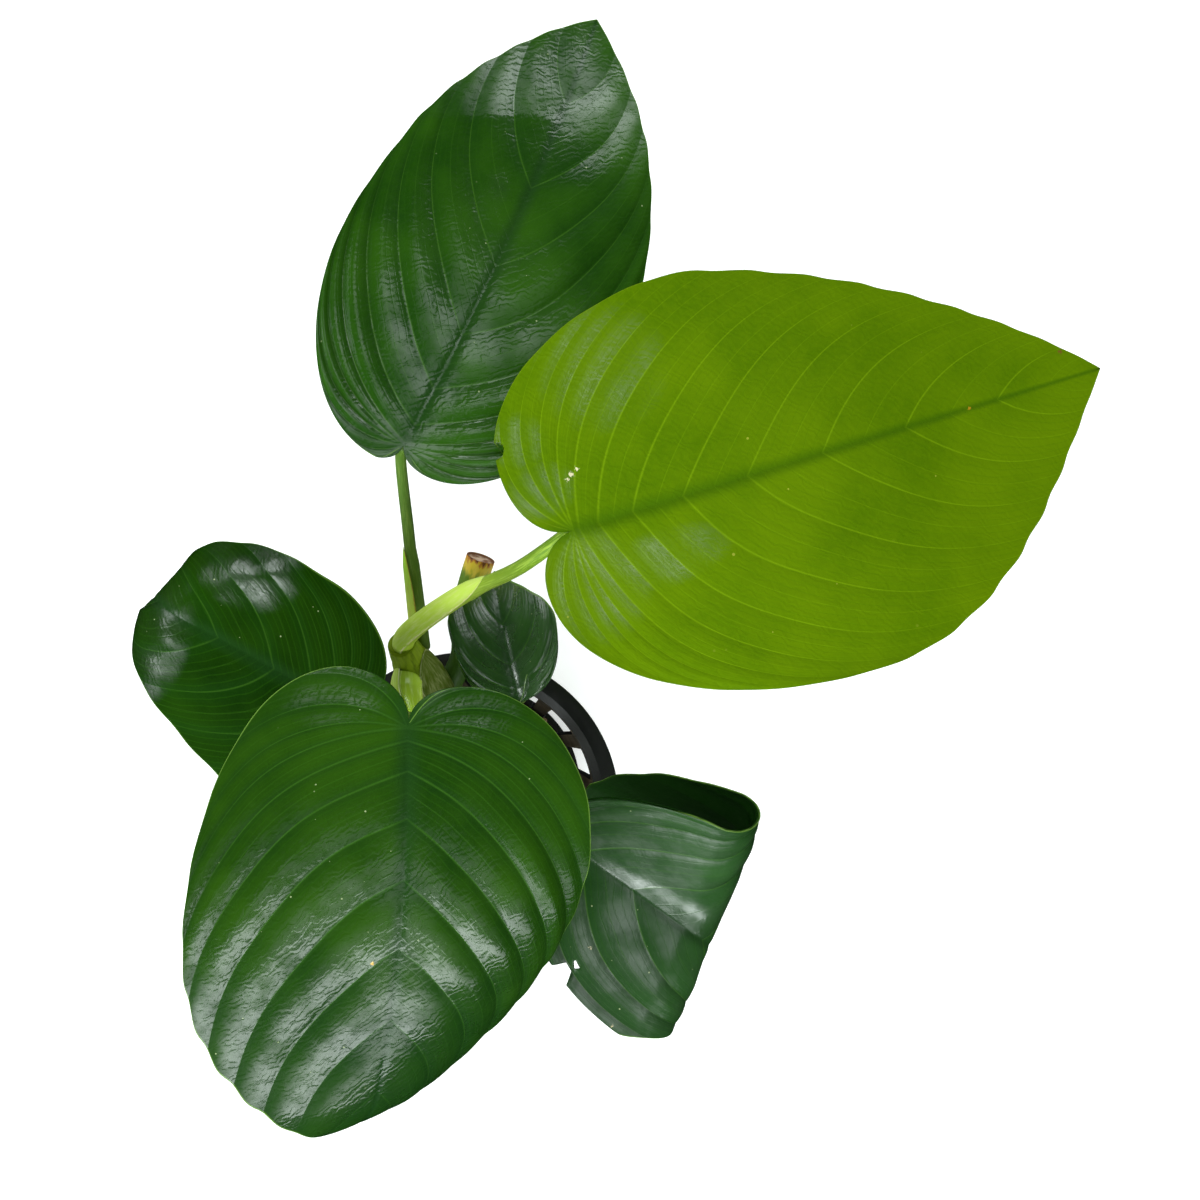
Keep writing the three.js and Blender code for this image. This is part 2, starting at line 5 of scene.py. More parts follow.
import bmesh
import bpy
import numpy as np
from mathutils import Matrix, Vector


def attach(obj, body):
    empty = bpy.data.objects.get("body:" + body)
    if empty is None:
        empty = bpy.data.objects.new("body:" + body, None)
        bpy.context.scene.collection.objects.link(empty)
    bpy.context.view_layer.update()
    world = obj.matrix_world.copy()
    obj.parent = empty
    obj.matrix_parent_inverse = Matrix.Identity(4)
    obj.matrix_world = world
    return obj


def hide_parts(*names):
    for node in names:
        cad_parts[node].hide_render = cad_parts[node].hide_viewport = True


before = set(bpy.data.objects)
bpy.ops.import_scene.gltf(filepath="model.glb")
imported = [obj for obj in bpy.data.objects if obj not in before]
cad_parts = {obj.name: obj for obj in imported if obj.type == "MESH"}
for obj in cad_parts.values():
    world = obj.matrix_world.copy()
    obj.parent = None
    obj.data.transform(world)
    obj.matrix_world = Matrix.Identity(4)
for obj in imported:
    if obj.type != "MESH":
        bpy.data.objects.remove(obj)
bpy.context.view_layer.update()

MM = 0.001

# The camera looks straight down from where the photograph was taken. Millimetres.
CAMERA = {"at": (23.6, 36.2, 480), "lens": 73.71, "sensor": 36}

# Leaves: the driving dimensions of the part's source, in millimetres and degrees. A side gives the
# angle of the notch at the base, how far the lobe reaches behind the base and how far out, the half
# width and where it is reached, the fullness of the shoulder and the half angle of the tip. A bend
# gives a point of its line, the heading that it turns, its radius and its turn, which is down for a
# positive angle. Puff and wave are the heights of the swellings between the veins and of the wave
# along the margin, and scallop is how far the margin draws in at each vein. Forms are soft rises.

LEAVES = {
    "rear": {
        "base": (-6.0, 59.5, 110), "heading": 61.5, "droop": 7, "roll": 2,
        "length": 82, "sweep": 8,
        "left": (40, 3.6, 3.1, 23.6, 25.8, 0.26, 46),
        "right": (85, 2.1, 5, 22.9, 25, 0.36, 44),
        "bends": [((14, -3), 9, 127, 30)],
        "veins": 12, "puff": 0.7, "scallop": 0.012, "wave": 0.35,
        "creases": [{"start": (45, 23), "end": (60, -1), "width": 5, "lift": 0.8}],
        "petiole": {
            "path": [(-6.3, 28.5, 68.5), (-6.5, 36.2, 78), (-6.6, 47.2, 93)],
            "radius": 0.95, "foot": 1.5, "sheath_to": 0.5,
        },
    },
    "young": {
        "base": (19.7, 46.6, 115), "heading": 17.3, "droop": -2, "roll": -0.5,
        "length": 86.2, "sweep": 0.5,
        "left": (29, 8.1, 11.8, 32.3, 24, 0.15, 45),
        "right": (43, 6.5, 8.3, 33.3, 38.4, 0.42, 50),
        "bends": [((10, -1), 9, 148, 17)],
        "veins": 14, "puff": 0.14, "scallop": 0.01, "wave": 0.3,
        "bite": [(-12, 14), (-7.2, 13.2), (-6.2, 14.4), (-6.6, 16), (-12, 16.6)],
        "petiole": {
            "path": [(-8.9, 28, 73.5), (-8, 30.3, 78.5), (1.4, 36.8, 91), (11.3, 41.2, 103)],
            "radius": 1.15, "foot": 1.8, "sheath_to": 0.55,
        },
    },
    "front": {
        "base": (-5.2, 17.1, 112), "heading": -90, "droop": 6, "roll": -1,
        "length": 80, "sweep": -9.7,
        "left": (33, 6.1, 8.6, 28, 18, 0.3, 50),
        "right": (18, 9.3, 10, 33.2, 33, 0.54, 53),
        "bends": [
            ((64, 6), 2, 19.4, 50),
            ((30, 13), 50, 19, 68),
            ((4, 0), 0, 110, 20),
        ],
        "veins": 12, "closer": 1.2, "puff": 1.0, "puff_from": (0, 34), "scallop": 0.014, "wave": 0.4,
        "petiole": {
            "path": [(-1.5, 12.5, 50.5), (-4, 13.3, 60), (-4.8, 14.6, 84)],
            "radius": 1.15, "foot": 1.7, "sheath_to": 0.35,
        },
    },
    "left": {
        "base": (-18.6, 19.4, 88), "heading": 149.5, "droop": 9, "roll": -28,
        "length": 51.5, "sweep": 3.6,
        "left": (40, 8.3, 11, 27.3, 9.5, 0.2, 45),
        "right": (27, 5.8, 8, 19.7, 10.4, 0.44, 36),
        "bends": [
            ((29, 0), -3, 10.4, 73),
            ((19, -10), -50, 10.3, 41),
            ((0, 3), 88, 61, 9),
        ],
        "veins": 9, "puff": 0.25, "scallop": 0.012, "wave": 0.2,
        "forms": [
            {"at": (19.5, -15), "size": (4.5, 2.2), "lift": 0.6, "turned": 30},
            {"at": (25, -13), "size": (2.5, 4), "lift": 0.4},
            {"at": (31, 4), "size": (5, 2.6), "lift": 0.55, "turned": -20},
            {"at": (35, 10), "size": (3, 4), "lift": 0.4},
        ],
        "petiole": {
            "path": [(-4.4, 17, 58), (-9.5, 18.2, 66), (-15.2, 19.2, 77)],
            "radius": 1.0, "foot": 1.5, "sheath_to": 0.35,
        },
    },
    "rolled": {
        "base": (15.9, -1.2, 78), "heading": -37, "droop": -6, "roll": 4.5,
        "length": 70.7, "sweep": 1.4,
        "left": (10, -3.2, 0.2, 27.3, 21.2, 0.49, 76),
        "right": (35, 1.7, 2.1, 20.5, 28.5, 0.06, 16.5),
        "bends": [
            ((27.7, -6), 13.7, 5.2, 175),
            ((7.5, -3.8), 101.5, 7.5, -49),
            ((0, -6.5), -108, 30, 3),
        ],
        "veins": 9, "puff": 0.45, "scallop": 0.012, "wave": 0.2,
        "bite": [
            (9.5, -21), (12.3, -19.2), (14.1, -17.1), (15.7, -15.3), (16.9, -13.1), (17.9, -13),
            (17.4, -14.6), (17.1, -16.3), (16.1, -16.2), (16.6, -17.6), (17, -18.8), (17.2, -21), (14, -26),
        ],
        "petiole": {
            "path": [(2, 6, 43.5), (8, 3.2, 52), (13, 0.6, 65)],
            "radius": 1.05, "foot": 1.5, "sheath_to": 0.35,
        },
    },
    "small": {
        "base": (10.2, 19.3, 75), "heading": 102, "droop": -22, "roll": -12,
        "length": 22.8, "sweep": 0,
        "left": (145, -1.3, 3.6, 9, 15, 0.5, 50),
        "right": (140, -6, 3.6, 9, 13.5, 0.5, 50),
        "bends": [((6, 0), 0, 37, 30)],
        "veins": 7, "puff": 0.5, "scallop": 0.01, "wave": 0.2,
        "petiole": {
            "path": [(-0.5, 11, 49), (4.5, 14.5, 57), (8.6, 18, 67)],
            "radius": 0.75, "foot": 1.2, "sheath_to": 0.3,
        },
    },
}

# Side veins: the share of the margin fed straight from the leaf base, how they crowd towards the
# tip, their forward bow as a share of their length, what the bow loses by the tip, and how much
# closer the veins stand there.
VEINS = {"fan": 0.43, "crowding": 2.3, "bow": 0.38, "bow_loss": 0.55, "closer": 0.5}

# Lengths of the handles of a margin's curves, as shares of the stretches they shape.
HANDLES = {"lobe": 0.45, "widest": 0.55, "tip": 0.4}

# Where the dome of a swelling starts and ends across half a blade, how far from the midrib it is
# whole, and the distances between veins over which it grows.
PUFF = {"inner": 0.12, "outer": 0.92, "off_rib": 7, "pitch": (0.5, 4.5)}
MARGIN_WAVES = 3

# The last bend of a petiole: how far behind the base of the blade and how far below it.
NECK = {"behind": 0.8, "below": 3}

# A real blade is thinner than its solid and has a rounded margin, a sunken midrib with a rib
# below it, and side veins in shallow grooves. Depths and widths in millimetres.
BLADE = {
    "thickness": 0.4, "rib": 0.55, "rib_width": 1.1, "groove": 0.27, "groove_width": 1.3,
    "vein_groove": 0.07, "vein_width": 0.35, "ridges": 0.03, "ridges_per_band": 3,
}

# Rows and columns of points on half a blade, and how close a point falls together with another.
ROWS = 168
COLUMNS = 50
WELD = 0.004

# A husk: its rows and columns of points and its thickness. A cut end: how far down the stem the cut
# shows in its shape, and by what share of the length each ring of its mouth is counted onwards.
HUSK = {"rows": 50, "columns": 24, "thickness": 0.22}
CUT_REACH = 4
MOUTH_STEP = 0.02


# Curves


def bezier(points, count):
    """Points along a cubic Bezier curve through its four handles."""
    t = np.linspace(0, 1, count)[:, None]
    a, b, c, d = (np.array(p, float) for p in points)
    return a * (1 - t) ** 3 + 3 * b * t * (1 - t) ** 2 + 3 * c * t ** 2 * (1 - t) + d * t ** 3


def run_of(line):
    """How far along a polyline each of its points lies."""
    return np.concatenate([[0], np.cumsum(np.linalg.norm(np.diff(line, axis=0), axis=1))])


def at_shares(line, shares):
    """Points of a polyline at shares of its length."""
    run = run_of(line)
    run /= run[-1]
    return np.stack([np.interp(shares, run, line[:, k]) for k in range(line.shape[1])], -1)


def smooth_path(points, per_span=24):
    """A centripetal Catmull-Rom curve through the points."""
    p = np.array(points, float)
    p = np.vstack([2 * p[0] - p[1], p, 2 * p[-1] - p[-2]])
    curve = []
    for p0, p1, p2, p3 in zip(p, p[1:], p[2:], p[3:]):
        before, span, after = (np.linalg.norm(b - a) ** 0.5 for a, b in ((p0, p1), (p1, p2), (p2, p3)))
        handles = p1, handle(p0, p1, p2, before, span), handle(p3, p2, p1, after, span), p2
        curve.append(bezier(handles, per_span + 1)[:-1])
    return np.vstack(curve + [p[-2:-1]])


def handle(previous, here, following, before, span):
    """The Bezier handle of a Catmull-Rom span beside one of its ends."""
    pull = 2 * before ** 2 + 3 * before * span + span ** 2
    return (before ** 2 * following - span ** 2 * previous + pull * here) / (3 * before * (before + span))


def fade(x, low, high):
    """A smooth step from 0 at low to 1 at high."""
    t = np.clip((x - low) / (high - low), 0, 1)
    return t * t * (3 - 2 * t)


# The blade's flat shape and its bends


def margin(length, side, shares):
    """The margin of one half of a flat blade, from the notch at the base to the tip."""
    notch, lobe, lobe_at, width, widest_at, fullness, tip = side
    notch, tip = math.radians(notch), math.radians(tip)
    lead = HANDLES["lobe"] * math.hypot(lobe, lobe_at)
    rise = HANDLES["widest"] * (width - lobe_at)
    run = HANDLES["widest"] * (widest_at + lobe)
    taper = HANDLES["tip"] * math.hypot(length - widest_at, width)
    shoulder = widest_at + fullness * (length - widest_at)
    notch_lead = (-lead * math.cos(notch), lead * math.sin(notch))
    tip_lead = (length - taper * math.cos(tip), taper * math.sin(tip))
    curves = [
        ((0, 0), notch_lead, (-lobe, lobe_at / 2), (-lobe, lobe_at)),
        ((-lobe, lobe_at), (-lobe, lobe_at + rise), (widest_at - run, width), (widest_at, width)),
        ((widest_at, width), (shoulder, width), tip_lead, (length, 0)),
    ]
    line = np.vstack([bezier(points, 200)[1 if k else 0:] for k, points in enumerate(curves)])
    return at_shares(line, shares)


def bent(points, flat, bend):
    """Points once one bend has turned what lies beyond its line in the flat blade."""
    start, toward, radius, degrees = bend
    heading, turn = math.radians(toward), math.radians(degrees)
    ahead = np.array([math.cos(heading), math.sin(heading)])
    line = np.array([-ahead[1], ahead[0]])
    arc = np.clip((flat - start) @ ahead, 0, radius * abs(turn))
    angle = arc / radius
    offset = points[..., :2] - start
    forward = offset @ ahead - arc
    across = offset @ line
    down = math.copysign(1, turn)
    arm = points[..., 2] * down + radius
    reach = forward * np.cos(angle) + arm * np.sin(angle)
    height = down * (arm * np.cos(angle) - forward * np.sin(angle) - radius)
    ground = start + reach[..., None] * ahead + across[..., None] * line
    return np.concatenate([ground, height[..., None]], -1)


def blade_points(leaf, flat, lift):
    """Where points of the flat blade end up in the blade's own frame."""
    curved = flat.copy()
    curved[..., 1] += leaf["sweep"] * (np.maximum(0, flat[..., 0]) / leaf["length"]) ** 2
    points = np.concatenate([curved, np.broadcast_to(lift, flat.shape[:-1])[..., None]], -1)
    for bend in leaf["bends"]:
        points = bent(points, curved, bend)
    return points


def grow(leaf, points):
    """Turns points from the blade's own frame to where the leaf grows."""
    heading, droop, roll = (math.radians(leaf[key]) for key in ("heading", "droop", "roll"))
    along = np.array([
        math.cos(heading) * math.cos(droop), math.sin(heading) * math.cos(droop), -math.sin(droop)])
    level = np.array([-math.sin(heading), math.cos(heading), 0])
    tilted = level * math.cos(roll) + np.cross(along, level) * math.sin(roll)
    axes = np.stack([along, tilted, np.cross(along, tilted)])
    return np.array(leaf["base"]) + points @ axes


def column_shares():
    """Shares across half a blade, closer together at the midrib and at the margin."""
    even = np.linspace(0, 1, COLUMNS)
    inner = np.array([0.004, 0.01])
    outer = 1 - np.array([0.012, 0.007, 0.003, 0.001])
    return np.unique(np.concatenate([even, inner, outer]))


def grown_share(at):
    """How far along the midrib the vein starts that feeds a share of the margin."""
    return np.maximum(0, (at - VEINS["fan"]) / (1 - VEINS["fan"])) ** VEINS["crowding"]


def row_shares(rows):
    """Shares of the margin for the rows of a blade, evenly spread over margin and midrib together."""
    fine = np.linspace(0, 1, 2000)
    run = fine + 0.5 * grown_share(fine)
    return np.interp(np.linspace(0, run[-1], rows + 1), run, fine)


def bands(leaf, at):
    """Counts the side veins along the margin, with whole numbers on the veins."""
    closer = leaf.get("closer", VEINS["closer"])
    return leaf["veins"] * at * (1 + closer * at) / (1 + closer)


def wander(flat):
    """How far the side veins stray from an even spacing, as a share of it."""
    u, v = flat[..., 0], flat[..., 1]
    return 0.1 * np.sin(0.11 * u + 0.09 * v + 1) + 0.05 * np.sin(0.17 * v - 0.14 * u)


def half_blade(leaf, hand):
    """The grid of one half: its flat points and the measures that relief and colour use."""
    at = row_shares(ROWS)
    share = column_shares()
    edge = margin(leaf["length"], leaf["left" if hand > 0 else "right"], at) * (1, hand)
    grown = grown_share(at)
    rib = np.stack([leaf["length"] * grown, np.zeros_like(grown)], -1)
    chord = edge - rib
    bow = (VEINS["bow"] * (1 - VEINS["bow_loss"] * np.sqrt(grown)))[:, None]
    elbow = rib + chord / 2 + bow * hand * np.stack([-chord[:, 1], chord[:, 0]], -1)
    band = bands(leaf, at)
    between = np.sin(np.pi * band) ** 2
    w = (share * (1 - leaf["scallop"] * (1 - between[:, None])))[..., None]
    flat = rib[:, None] * (1 - w) ** 2 + 2 * elbow[:, None] * w * (1 - w) + edge[:, None] * w ** 2
    chord_length = np.linalg.norm(chord, axis=1)[:, None]
    steps = np.linalg.norm(np.gradient(flat, axis=0), axis=-1) / np.gradient(band)[:, None]
    band = band[:, None] + wander(flat) * np.sin(np.pi * at)[:, None]
    return {
        "flat": flat, "at": at[:, None] + 0 * share, "share": share + 0 * at[:, None],
        "grown": grown[:, None], "band": band, "pitch": steps,
        "off_rib": np.abs(flat[..., 1]), "to_margin": (1 - share) * chord_length,
    }


def relief(leaf, half, hand):
    """How far the blade's middle surface rises above the flat shape."""
    at, share, band = half["at"], half["share"], half["band"]
    ends = np.sin(np.pi * at)
    dome = np.sin(np.pi * (PUFF["inner"] + (PUFF["outer"] - PUFF["inner"]) * share))
    inward = fade(half["off_rib"], 0, PUFF["off_rib"])
    swell = np.abs(np.sin(np.pi * band)) * uneven(np.floor(band) + 40 * (hand > 0))
    grown = fade(half["flat"][..., 0], *leaf.get("puff_from", (-20, 10)))
    lift = leaf["puff"] * ends * swell * dome * inward * grown * fade(half["pitch"], *PUFF["pitch"])
    lift += leaf["wave"] * ends * share ** 3 * np.sin(2 * np.pi * MARGIN_WAVES * at + hand)
    spread = fade(half["pitch"], 0.8, 3)
    ridges = np.sin(np.pi * band * BLADE["ridges_per_band"]) ** 2
    lift += BLADE["ridges"] * ridges * spread * inward * (1 - share ** 4)
    from_vein = np.abs(band - np.round(band)) * half["pitch"] / BLADE["vein_width"]
    lift -= BLADE["vein_groove"] * np.exp(-from_vein ** 2) * spread * (1 - share ** 2)
    for form in leaf.get("forms", []):
        lift += swelling(half["flat"], **form)
    for crease in leaf.get("creases", []):
        lift += ridge(half["flat"], **crease)
    return lift


def uneven(number):
    """A factor between 0.6 and 1.2 that differs from band to band."""
    return 0.9 + 0.3 * np.sin(number * 2.4 + 0.6)


def ridge(flat, start, end, width, lift):
    """A sharp fold across the blade that falls away on both sides."""
    start, end = np.array(start, float), np.array(end, float)
    length = np.linalg.norm(end - start)
    run = (end - start) / length
    offset = flat - start
    across = np.abs(offset[..., 0] * run[1] - offset[..., 1] * run[0])
    along = offset @ run / length
    held = fade(along, -0.1, 0.1) * (1 - fade(along, 0.8, 1.15))
    return lift * np.exp(-across / width) * held


def swelling(flat, at, size, lift, turned=0):
    """A soft rise of the blade, longer one way than the other."""
    angle = math.radians(turned)
    offset = flat - np.array(at, float)
    along = offset[..., 0] * math.cos(angle) + offset[..., 1] * math.sin(angle)
    across = offset[..., 1] * math.cos(angle) - offset[..., 0] * math.sin(angle)
    return lift * np.exp(-(along / size[0]) ** 2 - (across / size[1]) ** 2)


def inside(flat, outline):
    """Which points lie inside an outline, and the nearest point of the outline to each."""
    points = flat.reshape(-1, 2)
    corners = np.array(outline, float)
    nearest = np.full(len(points), np.inf)
    snapped = points.copy()
    crossings = np.zeros(len(points), int)
    for a, b in zip(corners, np.roll(corners, -1, axis=0)):
        run = np.clip(((points - a) @ (b - a)) / ((b - a) @ (b - a)), 0, 1)
        foot = a + run[:, None] * (b - a)
        distance = np.linalg.norm(points - foot, axis=1)
        closer = distance < nearest
        nearest = np.where(closer, distance, nearest)
        snapped[closer] = foot[closer]
        if a[1] != b[1]:
            reach = a[0] + (points[:, 1] - a[1]) / (b[1] - a[1]) * (b[0] - a[0])
            crossings += ((a[1] > points[:, 1]) != (b[1] > points[:, 1])) & (points[:, 0] < reach)
    return (crossings % 2 == 1).reshape(flat.shape[:-1]), snapped.reshape(flat.shape)


def take_bite(leaf, half):
    """Draws the points of a bite back to its outline and tells which tiles of the blade remain."""
    rows, columns = half["share"].shape
    if "bite" not in leaf:
        return np.ones((rows - 1, columns - 1), bool)
    gone, snapped = inside(half["flat"], leaf["bite"])
    kept = ~(gone[:-1, :-1] & gone[1:, :-1] & gone[:-1, 1:] & gone[1:, 1:])
    half["flat"] = np.where(gone[..., None], snapped, half["flat"])
    return kept


def blade_faces(kept, start, hand):
    """Faces of one half: its upper side, its under side and the edges between them."""
    rows, columns = kept.shape[0] + 1, kept.shape[1] + 1
    r, c = np.nonzero(kept)
    corner = start + r * columns + c
    under = rows * columns
    upper = np.stack([corner, corner + columns, corner + columns + 1, corner + 1], -1)
    around = np.pad(kept, 1, constant_values=True)
    around[1:-1, -1] = False
    walls = []
    for down, across, corners in ((0, 1, (2, 3)), (1, 0, (1, 2)), (-1, 0, (3, 0)), (0, -1, (0, 1))):
        a, b = upper[~around[1 + r + down, 1 + c + across]][:, corners].T
        walls.append(np.stack([b, a, a + under, b + under], -1))
    faces = np.vstack([upper, upper[:, ::-1] + under, *walls])
    return faces if hand > 0 else faces[:, ::-1]


def thickness(half):
    """How far the skin lies above and below the middle surface of a blade."""
    at, off_rib = half["at"], half["off_rib"]
    ends = np.minimum(1, half["grown"] / 0.05) * np.sin(np.pi * at) ** 0.5
    narrow = 1 - 0.6 * at
    rounding = np.sqrt(1 - (1 - np.clip(half["to_margin"] / (BLADE["thickness"] / 2), 0, 1)) ** 2)
    thick = BLADE["thickness"] / 2 * np.where(at * (1 - at) > 0, rounding, 0)
    groove = BLADE["groove"] * ends * np.exp(-(off_rib / (BLADE["groove_width"] * narrow)) ** 2)
    rib = BLADE["rib"] * ends * np.exp(-(off_rib / (BLADE["rib_width"] * narrow)) ** 2)
    return thick - groove, thick + rib


def blade_mesh(leaf):
    """Vertices, faces and measures of a whole blade in its own frame."""
    points, faces, measures = [], [], []
    start = 0
    for hand in (1, -1):
        half = half_blade(leaf, hand)
        kept = take_bite(leaf, half)
        middle = relief(leaf, half, hand)
        above, below = thickness(half)
        for side, surface in enumerate((middle + above, middle - below)):
            points.append(blade_points(leaf, half["flat"], surface).reshape(-1, 3))
            sides = np.full(middle.size, float(side))
            band, pitch, share, off_rib, to_margin = (
                half[key].ravel() for key in ("band", "pitch", "share", "off_rib", "to_margin"))
            measures.append({
                "flat": np.column_stack([half["flat"].reshape(-1, 2), sides]),
                "vein": np.column_stack([band, pitch, share]),
                "place": np.column_stack([off_rib, to_margin, sides]),
            })
        faces.append(blade_faces(kept, start, hand))
        start += 2 * middle.size
    joined = {key: np.vstack([m[key] for m in measures]) for key in measures[0]}
    return np.vstack(points), np.vstack(faces), joined


# Meshes and objects


def mesh_object(name, points, faces, measures=None):
    """A smooth-shaded object from points in millimetres."""
    mesh = bpy.data.meshes.new(name)
    mesh.from_pydata((np.asarray(points) * MM).tolist(), [], [list(map(int, face)) for face in faces])
    for key, values in (measures or {}).items():
        attribute = mesh.attributes.new(key, "FLOAT_VECTOR", "POINT")
        attribute.data.foreach_set("vector", np.asarray(values, np.float32).ravel())
    mesh.polygons.foreach_set("use_smooth", [True] * len(mesh.polygons))
    thing = bpy.data.objects.new(name, mesh)
    bpy.context.scene.collection.objects.link(thing)
    return thing


def weld(thing):
    """Joins points that fall together and drops faces that collapse."""
    work = bmesh.new()
    work.from_mesh(thing.data)
    bmesh.ops.remove_doubles(work, verts=work.verts, dist=WELD * MM)
    bmesh.ops.dissolve_degenerate(work, edges=work.edges, dist=1e-7)
    work.to_mesh(thing.data)
    work.free()


def points_of(thing, kind="co", unit=MM):
    """An object's points in millimetres, or its normals."""
    values = np.empty(len(thing.data.vertices) * 3, np.float32)
    thing.data.vertices.foreach_get(kind, values)
    return values.reshape(-1, 3).astype(float) / unit


def put_points(thing, points):
    """Moves an object's points to places in millimetres."""
    thing.data.vertices.foreach_set("co", (points * MM).astype(np.float32).ravel())
    thing.data.update()


def apply_modifiers(thing):
    """Bakes an object's modifiers into its mesh."""
    bpy.context.view_layer.update()
    graph = bpy.context.evaluated_depsgraph_get()
    mesh = bpy.data.meshes.new_from_object(thing.evaluated_get(graph))
    thing.modifiers.clear()
    thing.data = mesh


def cut(thing, cutter):
    """Takes a cutter out of an object and removes the cutter."""
    modifier = thing.modifiers.new("cut", "BOOLEAN")
    modifier.operation = "DIFFERENCE"
    modifier.solver = "EXACT"
    modifier.object = cutter
    apply_modifiers(thing)
    bpy.data.objects.remove(cutter)


def add_piece(thing, material, slot, *nodes):
    """Gives a piece its material, its body and the nodes it stands for; its slot is not used."""
    thing.data.materials.clear()
    thing.data.materials.append(material)
    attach(thing, "root")
    if nodes:
        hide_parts(*nodes)


def moving_frames(curve):
    """Tangents and two side directions along a curve that turn as little as they can."""
    tangents = np.gradient(curve, axis=0)
    tangents /= np.linalg.norm(tangents, axis=1)[:, None]
    side = np.cross(tangents[0], (0.31, 0.2, 0.93))
    sides = []
    for tangent in tangents:
        side = side - tangent * (side @ tangent)
        side = side / np.linalg.norm(side)
        sides.append(side)
    sides = np.array(sides)
    return tangents, sides, np.cross(tangents, sides)


def skin_faces(rings, facets):
    """Faces over rings of points, closed by the foot and the head point that follow the rings."""
    ring, k = np.divmod(np.arange((rings - 1) * facets), facets)
    low, turn = ring * facets, (k + 1) % facets
    sides = np.stack([low + k, low + turn, low + facets + turn, low + facets + k], -1)
    k = np.arange(facets)
    turn = (k + 1) % facets
    foot, last = np.full(facets, rings * facets), (rings - 1) * facets
    ends = np.vstack([np.stack([foot, turn, k], -1), np.stack([foot + 1, last + k, last + turn], -1)])
    return sides.tolist() + ends.tolist()


def tube(curve, radii, facets, mouth=(), cut=None):
    """Points, faces and measures of a round stem. A mouth is a list of inner rings at its end, each a
    share of the last radius and a depth below the end. A cut is the direction its end faces."""
    tangents, sides, fronts = moving_frames(curve)
    run = run_of(curve)
    length = run[-1]
    radius = np.asarray(radii, float)
    centre = curve
    for share, depth in mouth:
        centre = np.vstack([centre, curve[-1] - tangents[-1] * depth])
        radius = np.append(radius, radii[-1] * share)
        run = np.append(run, run[-1] + MOUTH_STEP * length)
    extra = len(mouth)
    sides = np.vstack([sides, np.repeat(sides[-1:], extra, 0)])
    fronts = np.vstack([fronts, np.repeat(fronts[-1:], extra, 0)])
    angle = np.linspace(0, 2 * np.pi, facets, endpoint=False)
    ring = sides[:, None] * np.cos(angle)[:, None] + fronts[:, None] * np.sin(angle)[:, None]
    points = centre[:, None] + radius[:, None, None] * ring
    if cut is not None:
        near_end = np.clip((run - length) / CUT_REACH + 1, 0, 1)
        slide = (points - centre[:, None]) @ np.array(cut) / (tangents[-1] @ cut) * near_end[:, None]
        points = points - slide[..., None] * tangents[-1]
    rings = len(centre)
    points = np.vstack([points.reshape(-1, 3), centre[:1], centre[-1:]])
    along = np.repeat(run, facets)
    rows = np.stack([along, np.tile(angle, rings), along / length], -1)
    measures = np.vstack([rows, [0, 0, 0], [run[-1], 0, run[-1] / length + MOUTH_STEP]])
    return points, skin_faces(rings, facets), {"stem": measures}


def husk(route, radius_at, shape):
    """A thin sheath wrapped part of the way round a stem, closing to a point at its end."""
    start, end, toward, spread, closing, lift, flare = shape
    steps = np.linspace(start, end, HUSK["rows"])
    curve = at_shares(route, steps)
    radii = radius_at(steps) + lift
    rows, columns, thick = HUSK["rows"], HUSK["columns"], HUSK["thickness"]
    _, sides, fronts = moving_frames(curve)
    share = np.linspace(0, 1, rows)[:, None]
    column = np.linspace(-1, 1, columns)[None]
    middle = np.arctan2(fronts @ toward, sides @ toward)[:, None]
    angle = middle + math.radians(spread) * np.sqrt(1 - share ** closing) * column
    out = flare * np.abs(column) ** 3 * (1 - share ** closing)
    edge = np.sqrt(np.clip(1 - np.maximum(np.abs(column), share) ** 6, 0, 1))
    ring = sides[:, None] * np.cos(angle)[..., None] + fronts[:, None] * np.sin(angle)[..., None]
    layers = []
    for depth in (0, thick):
        radius = radii[:, None] + out - thick / 2 + (thick / 2 - depth) * edge
        layers.append((curve[:, None] + radius[..., None] * ring).reshape(-1, 3))
    grid = np.arange(rows * columns).reshape(rows, columns)
    tiles = np.stack([grid[:-1, :-1], grid[:-1, 1:], grid[1:, 1:], grid[1:, :-1]], -1).reshape(-1, 4)
    border = np.concatenate([grid[0, :-1], grid[:-1, -1], grid[-1, :0:-1], grid[:0:-1, 0]])
    after = np.roll(border, -1)
    walls = np.stack([after, border, border + grid.size, after + grid.size], -1)
    faces = np.vstack([tiles, tiles[:, ::-1] + grid.size, walls]).tolist()
    run = run_of(curve)[:, None]
    measures = np.stack([run + 0 * column, column + 0 * share, share + 0 * column], -1).reshape(-1, 3)
    return np.vstack(layers), faces, {"stem": np.vstack([measures, measures])}


def join(parts):
    """One set of points, faces and measures out of several."""
    points, faces, measures = [], [], {}
    start = 0
    for part_points, part_faces, part_measures in parts:
        points.append(part_points)
        faces += [[start + k for k in face] for face in part_faces]
        start += len(part_points)
        for key, values in part_measures.items():
            measures.setdefault(key, []).append(values)
    return np.vstack(points), faces, {key: np.vstack(values) for key, values in measures.items()}


# Materials


